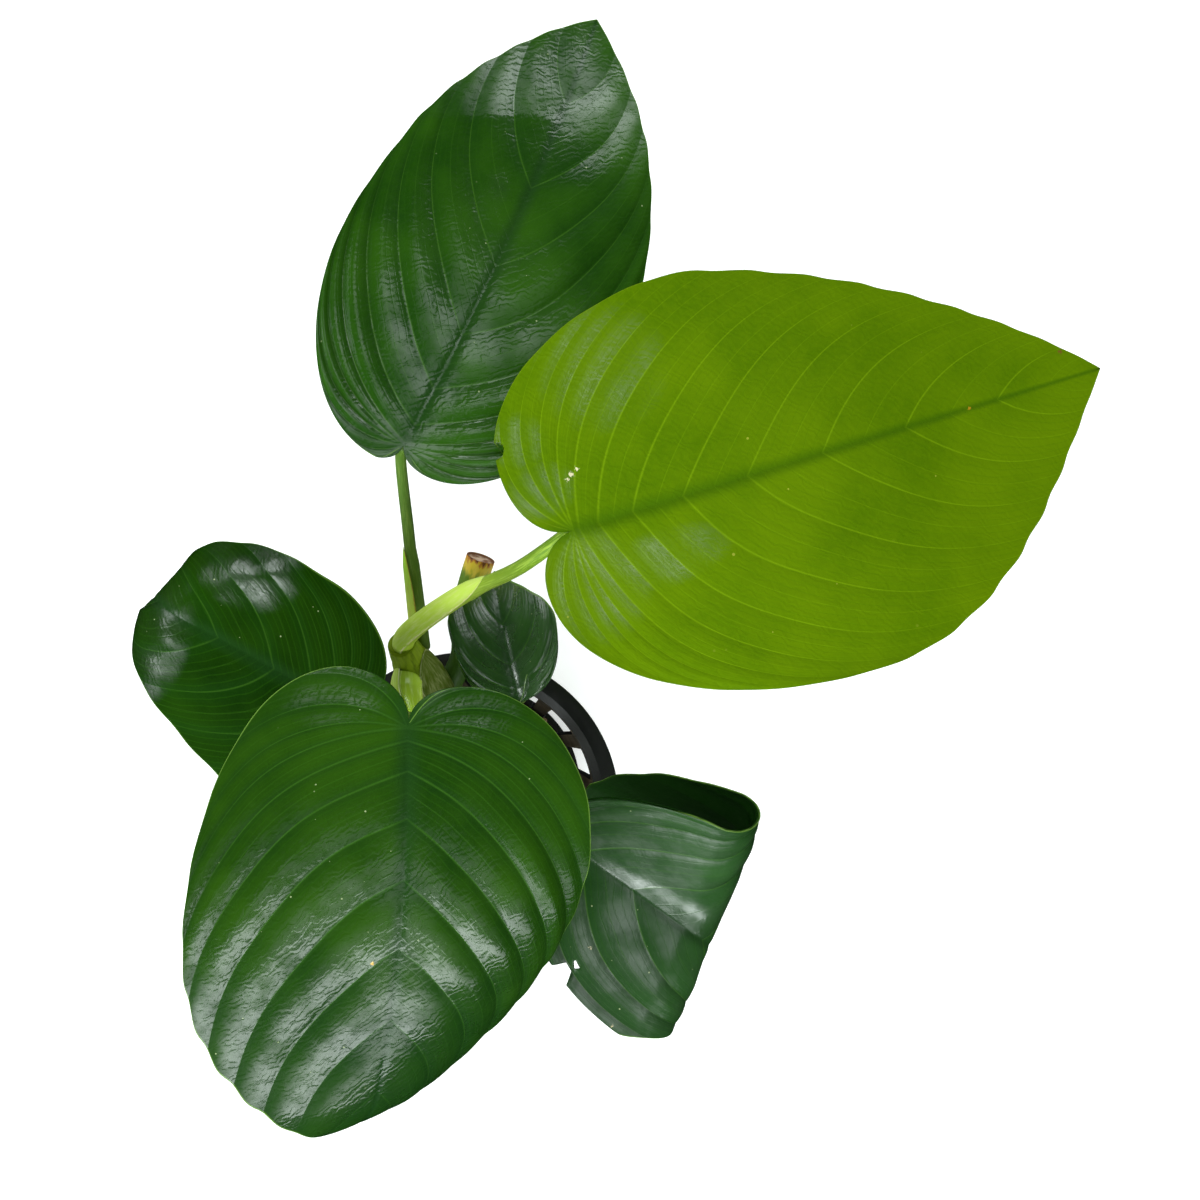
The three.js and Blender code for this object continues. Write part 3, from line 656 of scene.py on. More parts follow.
class Shader:
    """A material's node tree, put together by short calls."""

    def __init__(self, name):
        self.material = bpy.data.materials.new(name)
        self.material.use_nodes = True
        self.tree = self.material.node_tree
        self.surface = self.tree.nodes["Principled BSDF"]

    def feed(self, socket, value):
        if isinstance(value, bpy.types.NodeSocket):
            self.tree.links.new(value, socket)
        elif isinstance(value, tuple) and len(value) == 3 and len(socket.default_value) == 4:
            socket.default_value = (*value, 1)
        else:
            socket.default_value = value

    def node(self, kind, inputs, **settings):
        node = self.tree.nodes.new("ShaderNode" + kind)
        for key, value in settings.items():
            setattr(node, key, value)
        for key, value in inputs.items():
            self.feed(node.inputs[key], value)
        return node

    def math(self, operation, *values):
        return self.node("Math", dict(enumerate(values)), operation=operation).outputs[0]

    def times(self, first, second):
        return self.math("MULTIPLY", first, second)

    def vectors(self, operation, *values, output="Vector"):
        return self.node("VectorMath", dict(enumerate(values)), operation=operation).outputs[output]

    def fade(self, value, low, high, start=0, end=1):
        inputs = {"Value": value, "From Min": low, "From Max": high, "To Min": start, "To Max": end}
        return self.node("MapRange", inputs, interpolation_type="SMOOTHSTEP").outputs[0]

    def mix(self, share, first, second):
        node = self.node("Mix", {0: share}, data_type="RGBA")
        self.feed(node.inputs[6], first)
        self.feed(node.inputs[7], second)
        return node.outputs[2]

    def measure(self, name):
        """The three numbers of a mesh attribute, and the attribute as a vector."""
        node = self.tree.nodes.new("ShaderNodeAttribute")
        node.attribute_name = name
        vector = node.outputs["Vector"]
        parts = self.node("SeparateXYZ", {0: vector}).outputs
        return parts[0], parts[1], parts[2], vector

    def position(self):
        return self.tree.nodes.new("ShaderNodeTexCoord").outputs["Object"]

    def vector(self, *values):
        return self.node("CombineXYZ", dict(enumerate(values))).outputs[0]

    def noise(self, where, scale, detail=2.0, roughness=0.5, distortion=0.0):
        inputs = {"Vector": where, "Scale": scale, "Detail": detail, "Roughness": roughness}
        return self.node("TexNoise", {**inputs, "Distortion": distortion}).outputs["Fac"]

    def cells(self, where, scale, feature="F1"):
        inputs = {"Vector": where, "Scale": scale}
        return self.node("TexVoronoi", inputs, feature=feature).outputs["Distance"]

    def bump(self, height, depth):
        """Lays relief of a depth in millimetres over what is there already."""
        normal = self.surface.inputs["Normal"]
        node = self.node("Bump", {"Height": height, "Distance": depth * MM, "Strength": 1.0})
        if normal.is_linked:
            self.tree.links.new(normal.links[0].from_socket, node.inputs["Normal"])
        self.tree.links.new(node.outputs[0], normal)

    def finish(self, colour, roughness, **constants):
        self.feed(self.surface.inputs["Base Color"], colour)
        self.feed(self.surface.inputs["Roughness"], roughness)
        for key, value in constants.items():
            self.surface.inputs[key.replace("_", " ")].default_value = value
        return self.material


def off_whole(s, count):
    """How far a count is from the nearest whole number."""
    return s.math("ABSOLUTE", s.math("SUBTRACT", count, s.math("ROUND", count)))


def line_near(s, count, pitch, width, lines=1.0):
    """1 on the lines that run where a count passes whole numbers, 0 beyond their width."""
    distance = s.times(off_whole(s, s.times(count, lines)), s.math("DIVIDE", pitch, lines))
    return s.math("SUBTRACT", 1.0, s.fade(s.math("DIVIDE", distance, width), 0.0, 1.0))


def strayed(s, flat, value, scale, amount):
    """A value that strays either way by up to half an amount."""
    return s.math("ADD", value, s.times(s.math("SUBTRACT", s.noise(flat, scale), 0.5), amount))


# The skin of every leaf, in millimetres: the width of a side vein at the midrib and at the margin,
# of the finer vein between two of them and of a thread, how many threads cross a band of the blade
# and how far they sink in.
SKIN = {"vein": (0.34, 0.16), "between": 0.14, "thread": 0.2, "threads": 6.0, "thread_depth": -0.01}


def leaf_material(name, look):
    """A leaf's skin: veins, a net of fine wrinkles, blotches, specks, glossy patches, a pale margin."""
    s = Shader(name)
    u, _, _, flat = s.measure("flat")
    band, pitch, share, _ = s.measure("vein")
    off_rib, to_margin, under, _ = s.measure("place")
    veins = line_near(s, band, pitch, s.fade(share, 0.0, 0.9, *SKIN["vein"]))
    veins = s.times(veins, s.fade(share, 0.55, 0.97, 1.0, 0.0))
    between = s.times(line_near(s, band, pitch, SKIN["between"], 2.0), s.fade(pitch, 1.5, 5.0))
    threads = line_near(s, strayed(s, flat, band, 0.09, 0.25), pitch, SKIN["thread"], SKIN["threads"])
    threads = s.times(threads, s.fade(pitch, 1.0, 3.5))
    colour = leaf_colour(s, look, flat, band)
    colour = s.mix(s.times(threads, look["threads"]), colour, look["thread"])
    colour = s.mix(s.times(between, look["veins"] * 0.6), colour, look["vein"])
    colour = s.mix(s.times(veins, look["veins"]), colour, look["vein"])
    # Painted shade: darker along the sunken midrib.
    rib = s.fade(off_rib, 0.0, s.fade(u, 0.0, 90.0, look["rib_width"], 0.5), look["rib"], 0.0)
    colour = s.mix(rib, colour, look["rib_shade_colour"])
    # Painted shade: the blade darkens along its length, on the front leaf towards its bent-down tip.
    colour = s.mix(s.fade(u, *look["tip_shade_from"], 0.0, look["tip_shade"]), colour, look["deep"])
    specks = s.math("LESS_THAN", s.cells(flat, look["specks"]), look["speck_size"])
    strewn = s.fade(s.noise(flat, 0.05), 0.45, 0.6, 0.0, 0.85)
    colour = s.mix(s.times(specks, strewn), colour, look["speck"])
    for spot in look["spots"]:
        colour = add_spot(s, flat, colour, *spot)
    colour = s.mix(s.fade(to_margin, 0.0, look["rim_width"], 0.9, 0.0), colour, look["rim"])
    colour = s.mix(s.times(under, look["under"]), colour, look["below"])
    wave = {"Vector": flat, "Scale": look["net"], "Distortion": 11.0, "Detail": 2.0, "Detail Scale": 1.0}
    worms = s.node("TexWave", wave, bands_direction="DIAGONAL").outputs["Fac"]
    s.bump(worms, look["wrinkle"])
    s.bump(s.noise(flat, 0.55), look["dimples"])
    s.bump(threads, SKIN["thread_depth"])
    gleam = s.times(shine(s, look, flat, band, off_rib), s.fade(under, 0.4, 0.6, look["gleam"], 0.2))
    s.feed(s.surface.inputs["Coat Weight"], gleam)
    s.tree.links.new(s.surface.inputs["Normal"].links[0].from_socket, s.surface.inputs["Coat Normal"])
    rough = s.fade(worms, 0.3, 0.7, look["rough"] - 0.03, look["rough"] + 0.05)
    return s.finish(colour, rough, IOR=look["ior"], Coat_Roughness=look["gloss"], Coat_IOR=look["wax"])


def leaf_colour(s, look, flat, band):
    """Light and dark green in soft blotches, darker in the valleys along the side veins as painted shade,
    with a fine mottle.
    """
    blotches = s.noise(flat, 0.045, 3.0, 0.55)
    colour = s.mix(s.fade(blotches, 0.3, 0.7), look["dark"], look["light"])
    # Painted shade: darker in the valleys along the side veins.
    colour = s.mix(s.fade(off_whole(s, band), 0.0, 0.35, look["valley"], 0.0), colour, look["deep"])
    mottle = s.fade(s.noise(flat, 0.8, 3.0, 0.7), 0.35, 0.75, 0.0, look["mottle"])
    return s.mix(mottle, colour, look["light"])


def shine(s, look, flat, band, off_rib):
    """How glossy the skin is: patches of gloss, strongest where a swelling falls away to the tip."""
    total = 0.0
    for at, (length, width), strength in look["shine"]:
        offset = s.vectors("SUBTRACT", flat, (*at, 0.0))
        scaled = s.vectors("MULTIPLY", offset, (1 / length, 1 / width, 0.0))
        distance = s.vectors("LENGTH", scaled, output="Value")
        total = s.math("MAXIMUM", s.fade(distance, 0.5, 1.2, strength, 0.0), total)
    patchy = s.fade(s.noise(flat, 0.16, 3.0, 0.6), 0.35, 0.6, 0.4, 1.0)
    low, high, least = look["lit_side"]
    lit = s.fade(strayed(s, flat, s.math("FRACT", band), 0.12, 0.35), low, high, least, 1.0)
    lit = s.math("MAXIMUM", lit, s.fade(off_rib, 0.5, 7.0, look["rib_gloss"], 0.0))
    return s.times(s.times(total, patchy), lit)


def add_spot(s, flat, colour, at, size, tint):
    """A small ragged mark on the blade."""
    distance = s.vectors("DISTANCE", flat, (*at, 0.0), output="Value")
    ragged = s.math("ADD", distance, s.times(s.noise(flat, 1.8, 3.0, 0.8), size * 4.0))
    return s.mix(s.fade(ragged, size * 2.3, size * 2.6, 0.95, 0.0), colour, tint)


def streaks_along(s, along, around, stretch=0.12):
    """Noise drawn out along a round stem."""
    across = s.times(s.math("SINE", around), 2.0)
    over = s.times(s.math("COSINE", around), 2.0)
    return s.noise(s.vector(s.times(along, stretch), across, over), 2.4, 4.0, 0.6)


def stem_material(name, foot, head, streak, rough=0.4, ior=1.25):
    """A green stalk, streaked along its length, with roots a pale brown."""
    s = Shader(name)
    along, around, share, _ = s.measure("stem")
    root, _, _, _ = s.measure("kind")
    streaks = streaks_along(s, along, around)
    colour = s.mix(s.fade(share, 0.1, 0.9), foot, head)
    colour = s.mix(s.fade(streaks, 0.45, 0.7, 0.0, 0.6), colour, streak)
    colour = s.mix(s.times(root, 0.9), colour, (0.2, 0.14, 0.07))
    s.bump(streaks, 0.08)
    s.bump(s.noise(s.position(), 1800.0, 2.0), 0.02)
    return s.finish(colour, s.fade(streaks, 0.3, 0.7, rough - 0.05, rough + 0.1), IOR=ior)


def husk_material(name, body, tip, edge, rough=0.38):
    """A sheath of leaf: green and veined, thin and dry along its edges."""
    s = Shader(name)
    along, across, share, _ = s.measure("stem")
    where = s.vector(s.times(along, 0.1), s.times(across, 2.6))
    streaks = s.noise(where, 3.0, 3.0, 0.6)
    colour = s.mix(s.fade(share, 0.2, 0.95), body, tip)
    colour = s.mix(s.fade(streaks, 0.4, 0.75, 0.0, 0.35), colour, edge)
    outer = s.math("MAXIMUM", s.math("ABSOLUTE", across), s.math("POWER", share, 6.0))
    ragged = s.math("ADD", outer, s.fade(s.noise(where, 9.0, 2.0), 0.3, 0.7, -0.05, 0.05))
    colour = s.mix(s.fade(ragged, 0.91, 0.99), colour, edge)
    s.bump(streaks, 0.05)
    return s.finish(colour, s.fade(streaks, 0.3, 0.7, rough, rough + 0.12), IOR=1.15)


# Yellow, orange and brown towards the cut: the shares of the stalk's length where each grows in.
STUB_TINTS = [
    (0.5, 0.86, (0.13, 0.24, 0.01)), (0.88, 0.95, (0.66, 0.48, 0.025)),
    (0.965, 0.99, (0.5, 0.18, 0.012)), (0.988, 1.003, (0.16, 0.05, 0.012)),
]


def stub_material(name):
    """The cut leaf stalk: green, then yellow and orange below the cut, a brown rim and pale pith."""
    s = Shader(name)
    along, around, share, _ = s.measure("stem")
    streaks = streaks_along(s, along, around, 0.25)
    ragged = s.math("ADD", share, s.fade(streaks, 0.3, 0.7, -0.02, 0.02))
    colour = (0.03, 0.08, 0.005)
    for low, high, tint in STUB_TINTS:
        colour = s.mix(s.fade(ragged, low, high), colour, tint)
    pith = s.mix(s.fade(s.noise(s.position(), 700.0, 3.0), 0.4, 0.6), (0.22, 0.09, 0.04), (0.6, 0.42, 0.3))
    colour = s.mix(s.fade(share, 1.03, 1.05), colour, pith)
    s.bump(streaks, 0.06)
    s.bump(s.noise(s.position(), 900.0, 3.0), 0.05)
    return s.finish(colour, 0.42, IOR=1.4)


def plastic_material(name):
    """Moulded black plastic with a fine grain and dusty streaks."""
    s = Shader(name)
    grain = s.noise(s.position(), 2600.0, 2.0, 0.6)
    smears = s.noise(s.position(), 90.0, 4.0, 0.6, 0.4)
    colour = s.mix(s.fade(smears, 0.5, 0.8, 0.0, 0.5), (0.008, 0.008, 0.008), (0.03, 0.029, 0.026))
    s.bump(grain, 0.02)
    return s.finish(colour, s.fade(smears, 0.3, 0.7, 0.3, 0.5), IOR=1.35)


def wool_material(name):
    """Matted stone wool: tangled pale fibres and wet brown, with patches stained green."""
    s = Shader(name)
    where = s.position()
    tangle = s.noise(where, 900.0, 5.0, 0.75, 2.5)
    fibres = s.cells(where, 1100.0, "DISTANCE_TO_EDGE")
    patches = s.noise(where, 140.0, 3.0, 0.6)
    colour = s.mix(s.fade(tangle, 0.35, 0.65), (0.06, 0.04, 0.018), (0.3, 0.23, 0.13))
    colour = s.mix(s.fade(fibres, 0.0, 0.2, 0.5, 0.0), colour, (0.42, 0.35, 0.22))
    colour = s.mix(s.fade(patches, 0.55, 0.75, 0.0, 0.6), colour, (0.05, 0.06, 0.02))
    s.bump(tangle, 0.5)
    s.bump(fibres, 0.15)
    return s.finish(colour, 0.92)


# Pieces


def make_leaf(name, leaf, material):
    """A blade, welded in its own frame and then set where it grows."""
    blade = mesh_object("leaf_" + name, *blade_mesh(leaf))
    weld(blade)
    put_points(blade, grow(leaf, points_of(blade)))
    add_piece(blade, material, "blade_" + name, "blade_" + name)


def radii_at(pairs):
    """A function that gives a stem's radius at shares of its length."""
    return lambda shares: np.interp(shares, *zip(*pairs))


def stem(route, radius_at, steps, facets, **end):
    """A round stem along a route."""
    shares = np.linspace(0, 1, steps)
    return tube(at_shares(route, shares), radius_at(shares), facets, **end)


def petiole_route(leaf):
    """The petiole's path up to the underside of its blade."""
    flat = np.array([[0.0, 0.0], [-NECK["behind"], 0.0]])
    ends = grow(leaf, blade_points(leaf, flat, np.array([-BLADE["thickness"] / 2, -NECK["below"]])))
    return smooth_path([*leaf["petiole"]["path"], ends[1], ends[0]])


def petiole_radii(leaf):
    """A petiole is thick at its foot and up to the end of its sheath, and slender beyond."""
    petiole = leaf["petiole"]
    to, radius = petiole["sheath_to"], petiole["radius"]
    sheathed = [(0, petiole["foot"]), (to - 0.08, radius * 1.3)]
    return radii_at([*sheathed, (to, radius * 1.02), (1, radius * 0.88)])


def make_petiole(name, leaf, material):
    piece = mesh_object("stalk_" + name, *stem(petiole_route(leaf), petiole_radii(leaf), 90, 28))
    add_piece(piece, material, petiole_slot(name), "petiole_" + name)


def petiole_slot(name):
    return "petiole_young" if name == "young" else "petiole_dark"


# Sheaths and husks: the shares of the stem where each starts and ends, the side that it covers, half
# the angle that it spans, how late it closes to its point, its lift off the stem and its flare.
SHEATHS = {
    "rear": (0.1, 0.52, (-0.85, 0.1, 0.55), 75, 4, 0.25, 0.4),
    "young": (0.0, 0.56, (-0.35, 0.75, 0.5), 125, 7, 0.14, 0.2),
    "front": (0.1, 0.4, (-0.5, -0.3, 0.4), 100, 6, 0.2, 0.3),
    "left": (0.1, 0.42, (0.2, 0.5, 0.8), 100, 6, 0.2, 0.3),
    "rolled": (0.15, 0.45, (0.1, 0.5, 0.8), 100, 6, 0.2, 0.3),
}
CROWN_HUSKS = [
    (0.5, 0.95, (0.8, 0.1, 0.6), 70, 5, 0.22, 0.25),
    (0.4, 0.86, (-0.9, -0.3, 0.3), 44, 5, 0.22, 0.3),
    (0.22, 0.5, (0.2, -0.9, 0.3), 70, 4, 0.25, 0.4),
]
BUD_HUSK = (0.02, 0.97, (-0.9, -0.1, 0.1), 62, 6, 0.3, 0.4)


def make_sheath(name, leaf, material):
    """The open sheath that clasps the lower part of a petiole."""
    parts = husk(petiole_route(leaf), petiole_radii(leaf), SHEATHS[name])
    add_piece(mesh_object("sheath_" + name, *parts), material, petiole_slot(name))


RHIZOME = {
    "path": [(4, -2, 30), (1, 6, 42), (-3, 15, 55), (-7, 24, 68), (-9, 29, 76)],
    "radii": [(0, 3.2), (0.15, 4.5), (0.5, 4.5), (0.8, 4.1), (1, 2.4)],
    "scars": 7, "scar_depth": 0.22,
}

# Roots: each starts at a share of the rhizome, leaves in a direction and ends at a height. It rises
# over the plug's edge to its crest and comes down outside the plug. Places are radius and height.
ROOTS = {
    "radii": [(0, 0.95), (0.55, 0.7), (1, 0.4)],
    "crest": (15.6, 42.4), "arch": 0.8, "shoulder": (19.2, 39.4), "tip_radius": 18.2,
    "each": [(0.31, 47, 24), (0.38, 108, 31), (0.33, 196, 22), (0.29, 292, 28), (0.32, 8, 20)],
}


def root_curve(start, direction, tip):
    """The path of one root, out of the rhizome and down beside the plug."""
    angle = math.radians(direction)

    def place(radius, height):
        return np.array([math.cos(angle) * radius, math.sin(angle) * radius, height])

    origin = at_shares(smooth_path(RHIZOME["path"]), np.array([start]))[0]
    crest, shoulder = place(*ROOTS["crest"]), place(*ROOTS["shoulder"])
    arch = (origin + crest) / 2
    arch[2] = crest[2] + ROOTS["arch"]
    hang = place(ROOTS["shoulder"][0], (shoulder[2] + tip) / 2)
    return smooth_path([origin, arch, crest, shoulder, hang, place(ROOTS["tip_radius"], tip)])


def rhizome_radii(shares):
    """The rhizome's radius, drawn in at the scars of its old leaves."""
    scar = np.abs(np.cos(shares * RHIZOME["scars"] * np.pi))
    return radii_at(RHIZOME["radii"])(shares) - RHIZOME["scar_depth"] * (1 - scar) ** 4


def make_rhizome(material):
    parts = [stem(smooth_path(RHIZOME["path"]), rhizome_radii, 160, 48)]
    parts += [stem(root_curve(*root), radii_at(ROOTS["radii"]), 80, 16) for root in ROOTS["each"]]
    for number, (points, _, measures) in enumerate(parts):
        measures["kind"] = np.tile([min(number, 1), 0, 0], (len(points), 1))
    piece = mesh_object("rhizome_and_roots", *join(parts))
    add_piece(piece, material, "rhizome_skin", "rhizome")


def make_crown_husks(material):
    """Dry remains of old leaf sheaths that hug the rhizome."""
    route = smooth_path(RHIZOME["path"])
    parts = [husk(route, radii_at(RHIZOME["radii"]), shape) for shape in CROWN_HUSKS]
    add_piece(mesh_object("crown_husks", *join(parts)), material, "rhizome_skin")


POT = {
    "height": 50, "rim_radius": 27, "rim_depth": 1.8, "collar_radius": 25.5, "collar_depth": 5,
    "mouth_radius": 24.3, "mouth_step": 0.5, "shoulder_radius": 23.9, "foot_radius": 19.3,
    "foot_round": 0.8, "wall": 1.2, "floor": 1.6, "facets": 144,
}

# Slots: widths of the side slots and of their rounded corners in degrees, all else in millimetres.
SLOTS = {
    "count": 16, "width": 14.8, "bottom": 5, "top": 42, "first_rib": 6.8, "inner_radius": 14,
    "corner_width": 2, "corner_height": 0.8, "corner_points": 5,
}
FLOOR_SLOTS = {"count": 8, "width": 3, "from": 8, "to": 16.5, "heights": (-2, 4)}

# The pot's soft edges: the bevel, the least angle that gets one and the least that shades as an edge.
EDGES = {"bevel": 0.22, "segments": 2, "bevel_angle": 35, "edge_angle": 40}


def lathe(name, profile, facets):
    """A closed solid of revolution whose profile starts and ends on the axis."""
    angle = np.linspace(0, 2 * np.pi, facets, endpoint=False)
    rings = profile[1:-1]
    points = [(r * math.cos(a), r * math.sin(a), z) for r, z in rings for a in angle]
    points += [(0, 0, profile[0][1]), (0, 0, profile[-1][1])]
    return mesh_object(name, points, skin_faces(len(rings), facets))


def block_faces(count):
    """Faces of a block between two outlines with the same count of points."""
    sides = [(k, (k + 1) % count, count + (k + 1) % count, count + k) for k in range(count)]
    return [*sides, tuple(reversed(range(count))), tuple(range(count, 2 * count))]


def slot_cutter(index):
    """A wedge with rounded corners that cuts one side slot."""
    middle = math.radians(SLOTS["first_rib"] + (index + 0.5) * 360 / SLOTS["count"])
    wide, tall = math.radians(SLOTS["corner_width"]), SLOTS["corner_height"]
    side = math.radians(SLOTS["width"] / 2) - wide
    low, high = SLOTS["bottom"] + tall, SLOTS["top"] - tall
    outline = []
    for a, z, turn in ((-side, low, 180), (side, low, 270), (side, high, 0), (-side, high, 90)):
        for angle in np.radians(np.linspace(turn, turn + 90, SLOTS["corner_points"])):
            outline.append((a + wide * math.cos(angle), z + tall * math.sin(angle)))
    radii = SLOTS["inner_radius"], POT["rim_radius"] + 1
    points = [(r * math.cos(middle + a), r * math.sin(middle + a), z) for r in radii for a, z in outline]
    return np.array(points), block_faces(len(outline)), {}


def floor_slot(index):
    """A box that cuts one slot of the floor."""
    angle = (index + 0.5) / FLOOR_SLOTS["count"] * 2 * math.pi
    near, far, half = FLOOR_SLOTS["from"], FLOOR_SLOTS["to"], FLOOR_SLOTS["width"] / 2
    along = np.array([math.cos(angle), math.sin(angle), 0])
    across = np.array([-math.sin(angle), math.cos(angle), 0])
    base = [(near, -half), (far, -half), (far, half), (near, half)]
    up = np.array([0, 0, 1])
    points = [along * a + across * b + up * z for z in FLOOR_SLOTS["heights"] for a, b in base]
    return np.array(points), block_faces(4), {}


def soften(thing):
    """Bevels an object's edges and shades the rest of it smooth."""
    bevel = thing.modifiers.new("edges", "BEVEL")
    bevel.width = EDGES["bevel"] * MM
    bevel.segments = EDGES["segments"]
    bevel.angle_limit = math.radians(EDGES["bevel_angle"])
    apply_modifiers(thing)
    thing.data.polygons.foreach_set("use_smooth", [True] * len(thing.data.polygons))
    work = bmesh.new()
    work.from_mesh(thing.data)
    for edge in work.edges:
        edge.smooth = edge.calc_face_angle(0) < math.radians(EDGES["edge_angle"])
    work.to_mesh(thing.data)
    work.free()


def make_pot(material):
    p = POT
    collar_foot = p["height"] - p["collar_depth"]
    rim_foot = p["height"] - p["rim_depth"]
    profile = [
        (0, 0), (p["foot_radius"] - p["foot_round"], 0), (p["foot_radius"], p["foot_round"]),
        (p["shoulder_radius"], collar_foot - p["foot_round"]), (p["collar_radius"], collar_foot),
        (p["collar_radius"], rim_foot), (p["rim_radius"], rim_foot),
        (p["rim_radius"], p["height"]), (p["mouth_radius"], p["height"]),
        (p["mouth_radius"], collar_foot + p["mouth_step"]),
        (p["shoulder_radius"] - p["wall"], collar_foot),
        (p["foot_radius"] - p["wall"], p["floor"]), (0, p["floor"]),
    ]
    pot = lathe("pot", profile, p["facets"])
    slots = [slot_cutter(index) for index in range(SLOTS["count"])]
    slots += [floor_slot(index) for index in range(FLOOR_SLOTS["count"])]
    cut(pot, mesh_object("slots", *join(slots)))
    soften(pot)
    add_piece(pot, material, "pot_plastic", "net_pot")


# The plug of wool: its size, the share of its tufts and how high they may stand, over what height
# they grow in above its foot, its rings of points, its slow waves as share, turns and rise, and its
# tufts as height and pitch.
WOOL = {
    "radius": 15.8, "foot_radius": 15, "foot": 1.95, "top": 39.5,
    "roughness": 0.5, "tuft_share": 0.6, "highest": 0.75, "grow_in": 3,
    "facets": 240, "layers": 120, "top_rings": 50, "foot_rings": 20, "inner_ring": 0.3,
    "waves": [(0.5, 3, 5), (0.3, 7, -9), (0.2, 11, 14)],
    "tufts": [(0.2, 0.5), (0.16, 0.8), (0.12, 1.2), (0.12, 1.6), (0.08, 2.2), (0.08, 3.0)],
}


def wool_profile():
    """The plug's outline, with a point for each ring of its skin."""
    w = WOOL
    level = np.linspace(0, 1, w["layers"])[1:]
    radius = w["foot_radius"] + (w["radius"] - w["foot_radius"]) * level
    height = w["foot"] + (w["top"] - w["foot"]) * level
    foot = [(r, w["foot"]) for r in np.linspace(w["inner_ring"], w["foot_radius"], w["foot_rings"])]
    top = [(r, w["top"]) for r in np.linspace(w["radius"], w["inner_ring"], w["top_rings"])[1:]]
    return [(0, w["foot"]), *foot, *zip(radius, height), *top, (0, w["top"])]


def make_wool(material):
    """The plug: a rough cylinder whose skin is pulled into tufts."""
    rng = np.random.default_rng(7)
    wool = lathe("wool_plug", wool_profile(), WOOL["facets"])
    co = points_of(wool)
    angle = np.arctan2(co[:, 1], co[:, 0])
    level = co[:, 2] / WOOL["top"]
    swell = sum(share * np.sin(turns * angle + up * level) for share, turns, up in WOOL["waves"])
    tufts = sum(
        height * np.sin(rng.normal(size=3) @ co.T * pitch + rng.uniform(0, 6))
        for height, pitch in WOOL["tufts"] * 2)
    out = (swell * WOOL["roughness"] + tufts * WOOL["tuft_share"])
    out *= fade(co[:, 2], WOOL["foot"], WOOL["foot"] + WOOL["grow_in"])
    wool.data.update()
    normals = points_of(wool, "normal", 1)
    put_points(wool, co + normals * np.minimum(out, WOOL["highest"])[:, None])
    add_piece(wool, material, "wool", "stone_wool")


BUD = {
    "path": [(-8.2, 25.8, 71.2), (-8.4, 22.6, 72.2), (-7.7, 19.4, 71), (-7.1, 17, 68.8)],
    "radii": [(0, 1.5), (0.35, 2.5), (0.7, 1.8), (1, 0.5)],
}
CUT_STALK = {
    "path": [(-3.7, 19.1, 60), (0.2, 26.7, 62.5), (0.5, 33.6, 66), (3.9, 43.2, 74)],
    "radii": [(0, 2.1), (0.6, 2.0), (0.9, 2.4), (1, 2.4)],
    "mouth": [(0.93, 0.05), (0.86, 0.4), (0.5, 0.55), (0.2, 0.5)],
    "faces": (0.32, 0.91, 0.24),
}


def make_bud(material):
    piece = mesh_object("bud", *stem(smooth_path(BUD["path"]), radii_at(BUD["radii"]), 60, 36))
    add_piece(piece, material, "bud", "growing_bud")


def make_bud_husk(material):
    """The pale membrane that the bud has pushed out of, left on its outer side."""
    parts = husk(smooth_path(BUD["path"]), radii_at(BUD["radii"]), BUD_HUSK)
    add_piece(mesh_object("bud_husk", *parts), material, "bud")


def make_cut_stalk(material):
    """The stalk of an old leaf, cut across, with a hollow in its cut face."""
    end = {"mouth": CUT_STALK["mouth"], "cut": CUT_STALK["faces"]}
    parts = stem(smooth_path(CUT_STALK["path"]), radii_at(CUT_STALK["radii"]), 60, 36, **end)
    add_piece(mesh_object("stub", *parts), material, "cut_stalk", "cut_stalk")


# Looks of the leaves: linear colours. Patches of gloss are a middle, a size and a strength. Lit_side
# says from where to where the gloss grows within a band of the blade, and how much there is at
# least. Spots are a place, a size and a colour.

DARK_LEAF = {
    "dark": (0.009, 0.045, 0.0012), "light": (0.019, 0.08, 0.0025), "mottle": 0.2,
    "deep": (0.006, 0.034, 0.003), "valley": 0.35, "tip_shade_from": (0.0, 80.0), "tip_shade": 0.0,
    "thread": (0.014, 0.062, 0.002), "threads": 0.3, "vein": (0.045, 0.13, 0.01), "veins": 0.35,
    "rib_shade_colour": (0.008, 0.033, 0.006), "rib": 0.6, "rib_width": 3.0,
    "rim": (0.14, 0.26, 0.04), "rim_width": 0.5, "below": (0.02, 0.06, 0.012), "under": 0.8,
    "specks": 0.34, "speck": (0.3, 0.36, 0.18), "speck_size": 0.045, "spots": [],
    "net": 0.42, "wrinkle": 0.014, "dimples": 0.045, "rough": 0.42, "ior": 1.1,
    "gloss": 0.2, "gleam": 0.7, "wax": 1.5, "lit_side": (0.15, 0.6, 0.35), "rib_gloss": 0.55,
    "shine": [((0, 0), (200, 200), 1)],
}
PALE_MARK = (0.42, 0.36, 0.2)
CREAM_SCAR = (0.6, 0.55, 0.35)

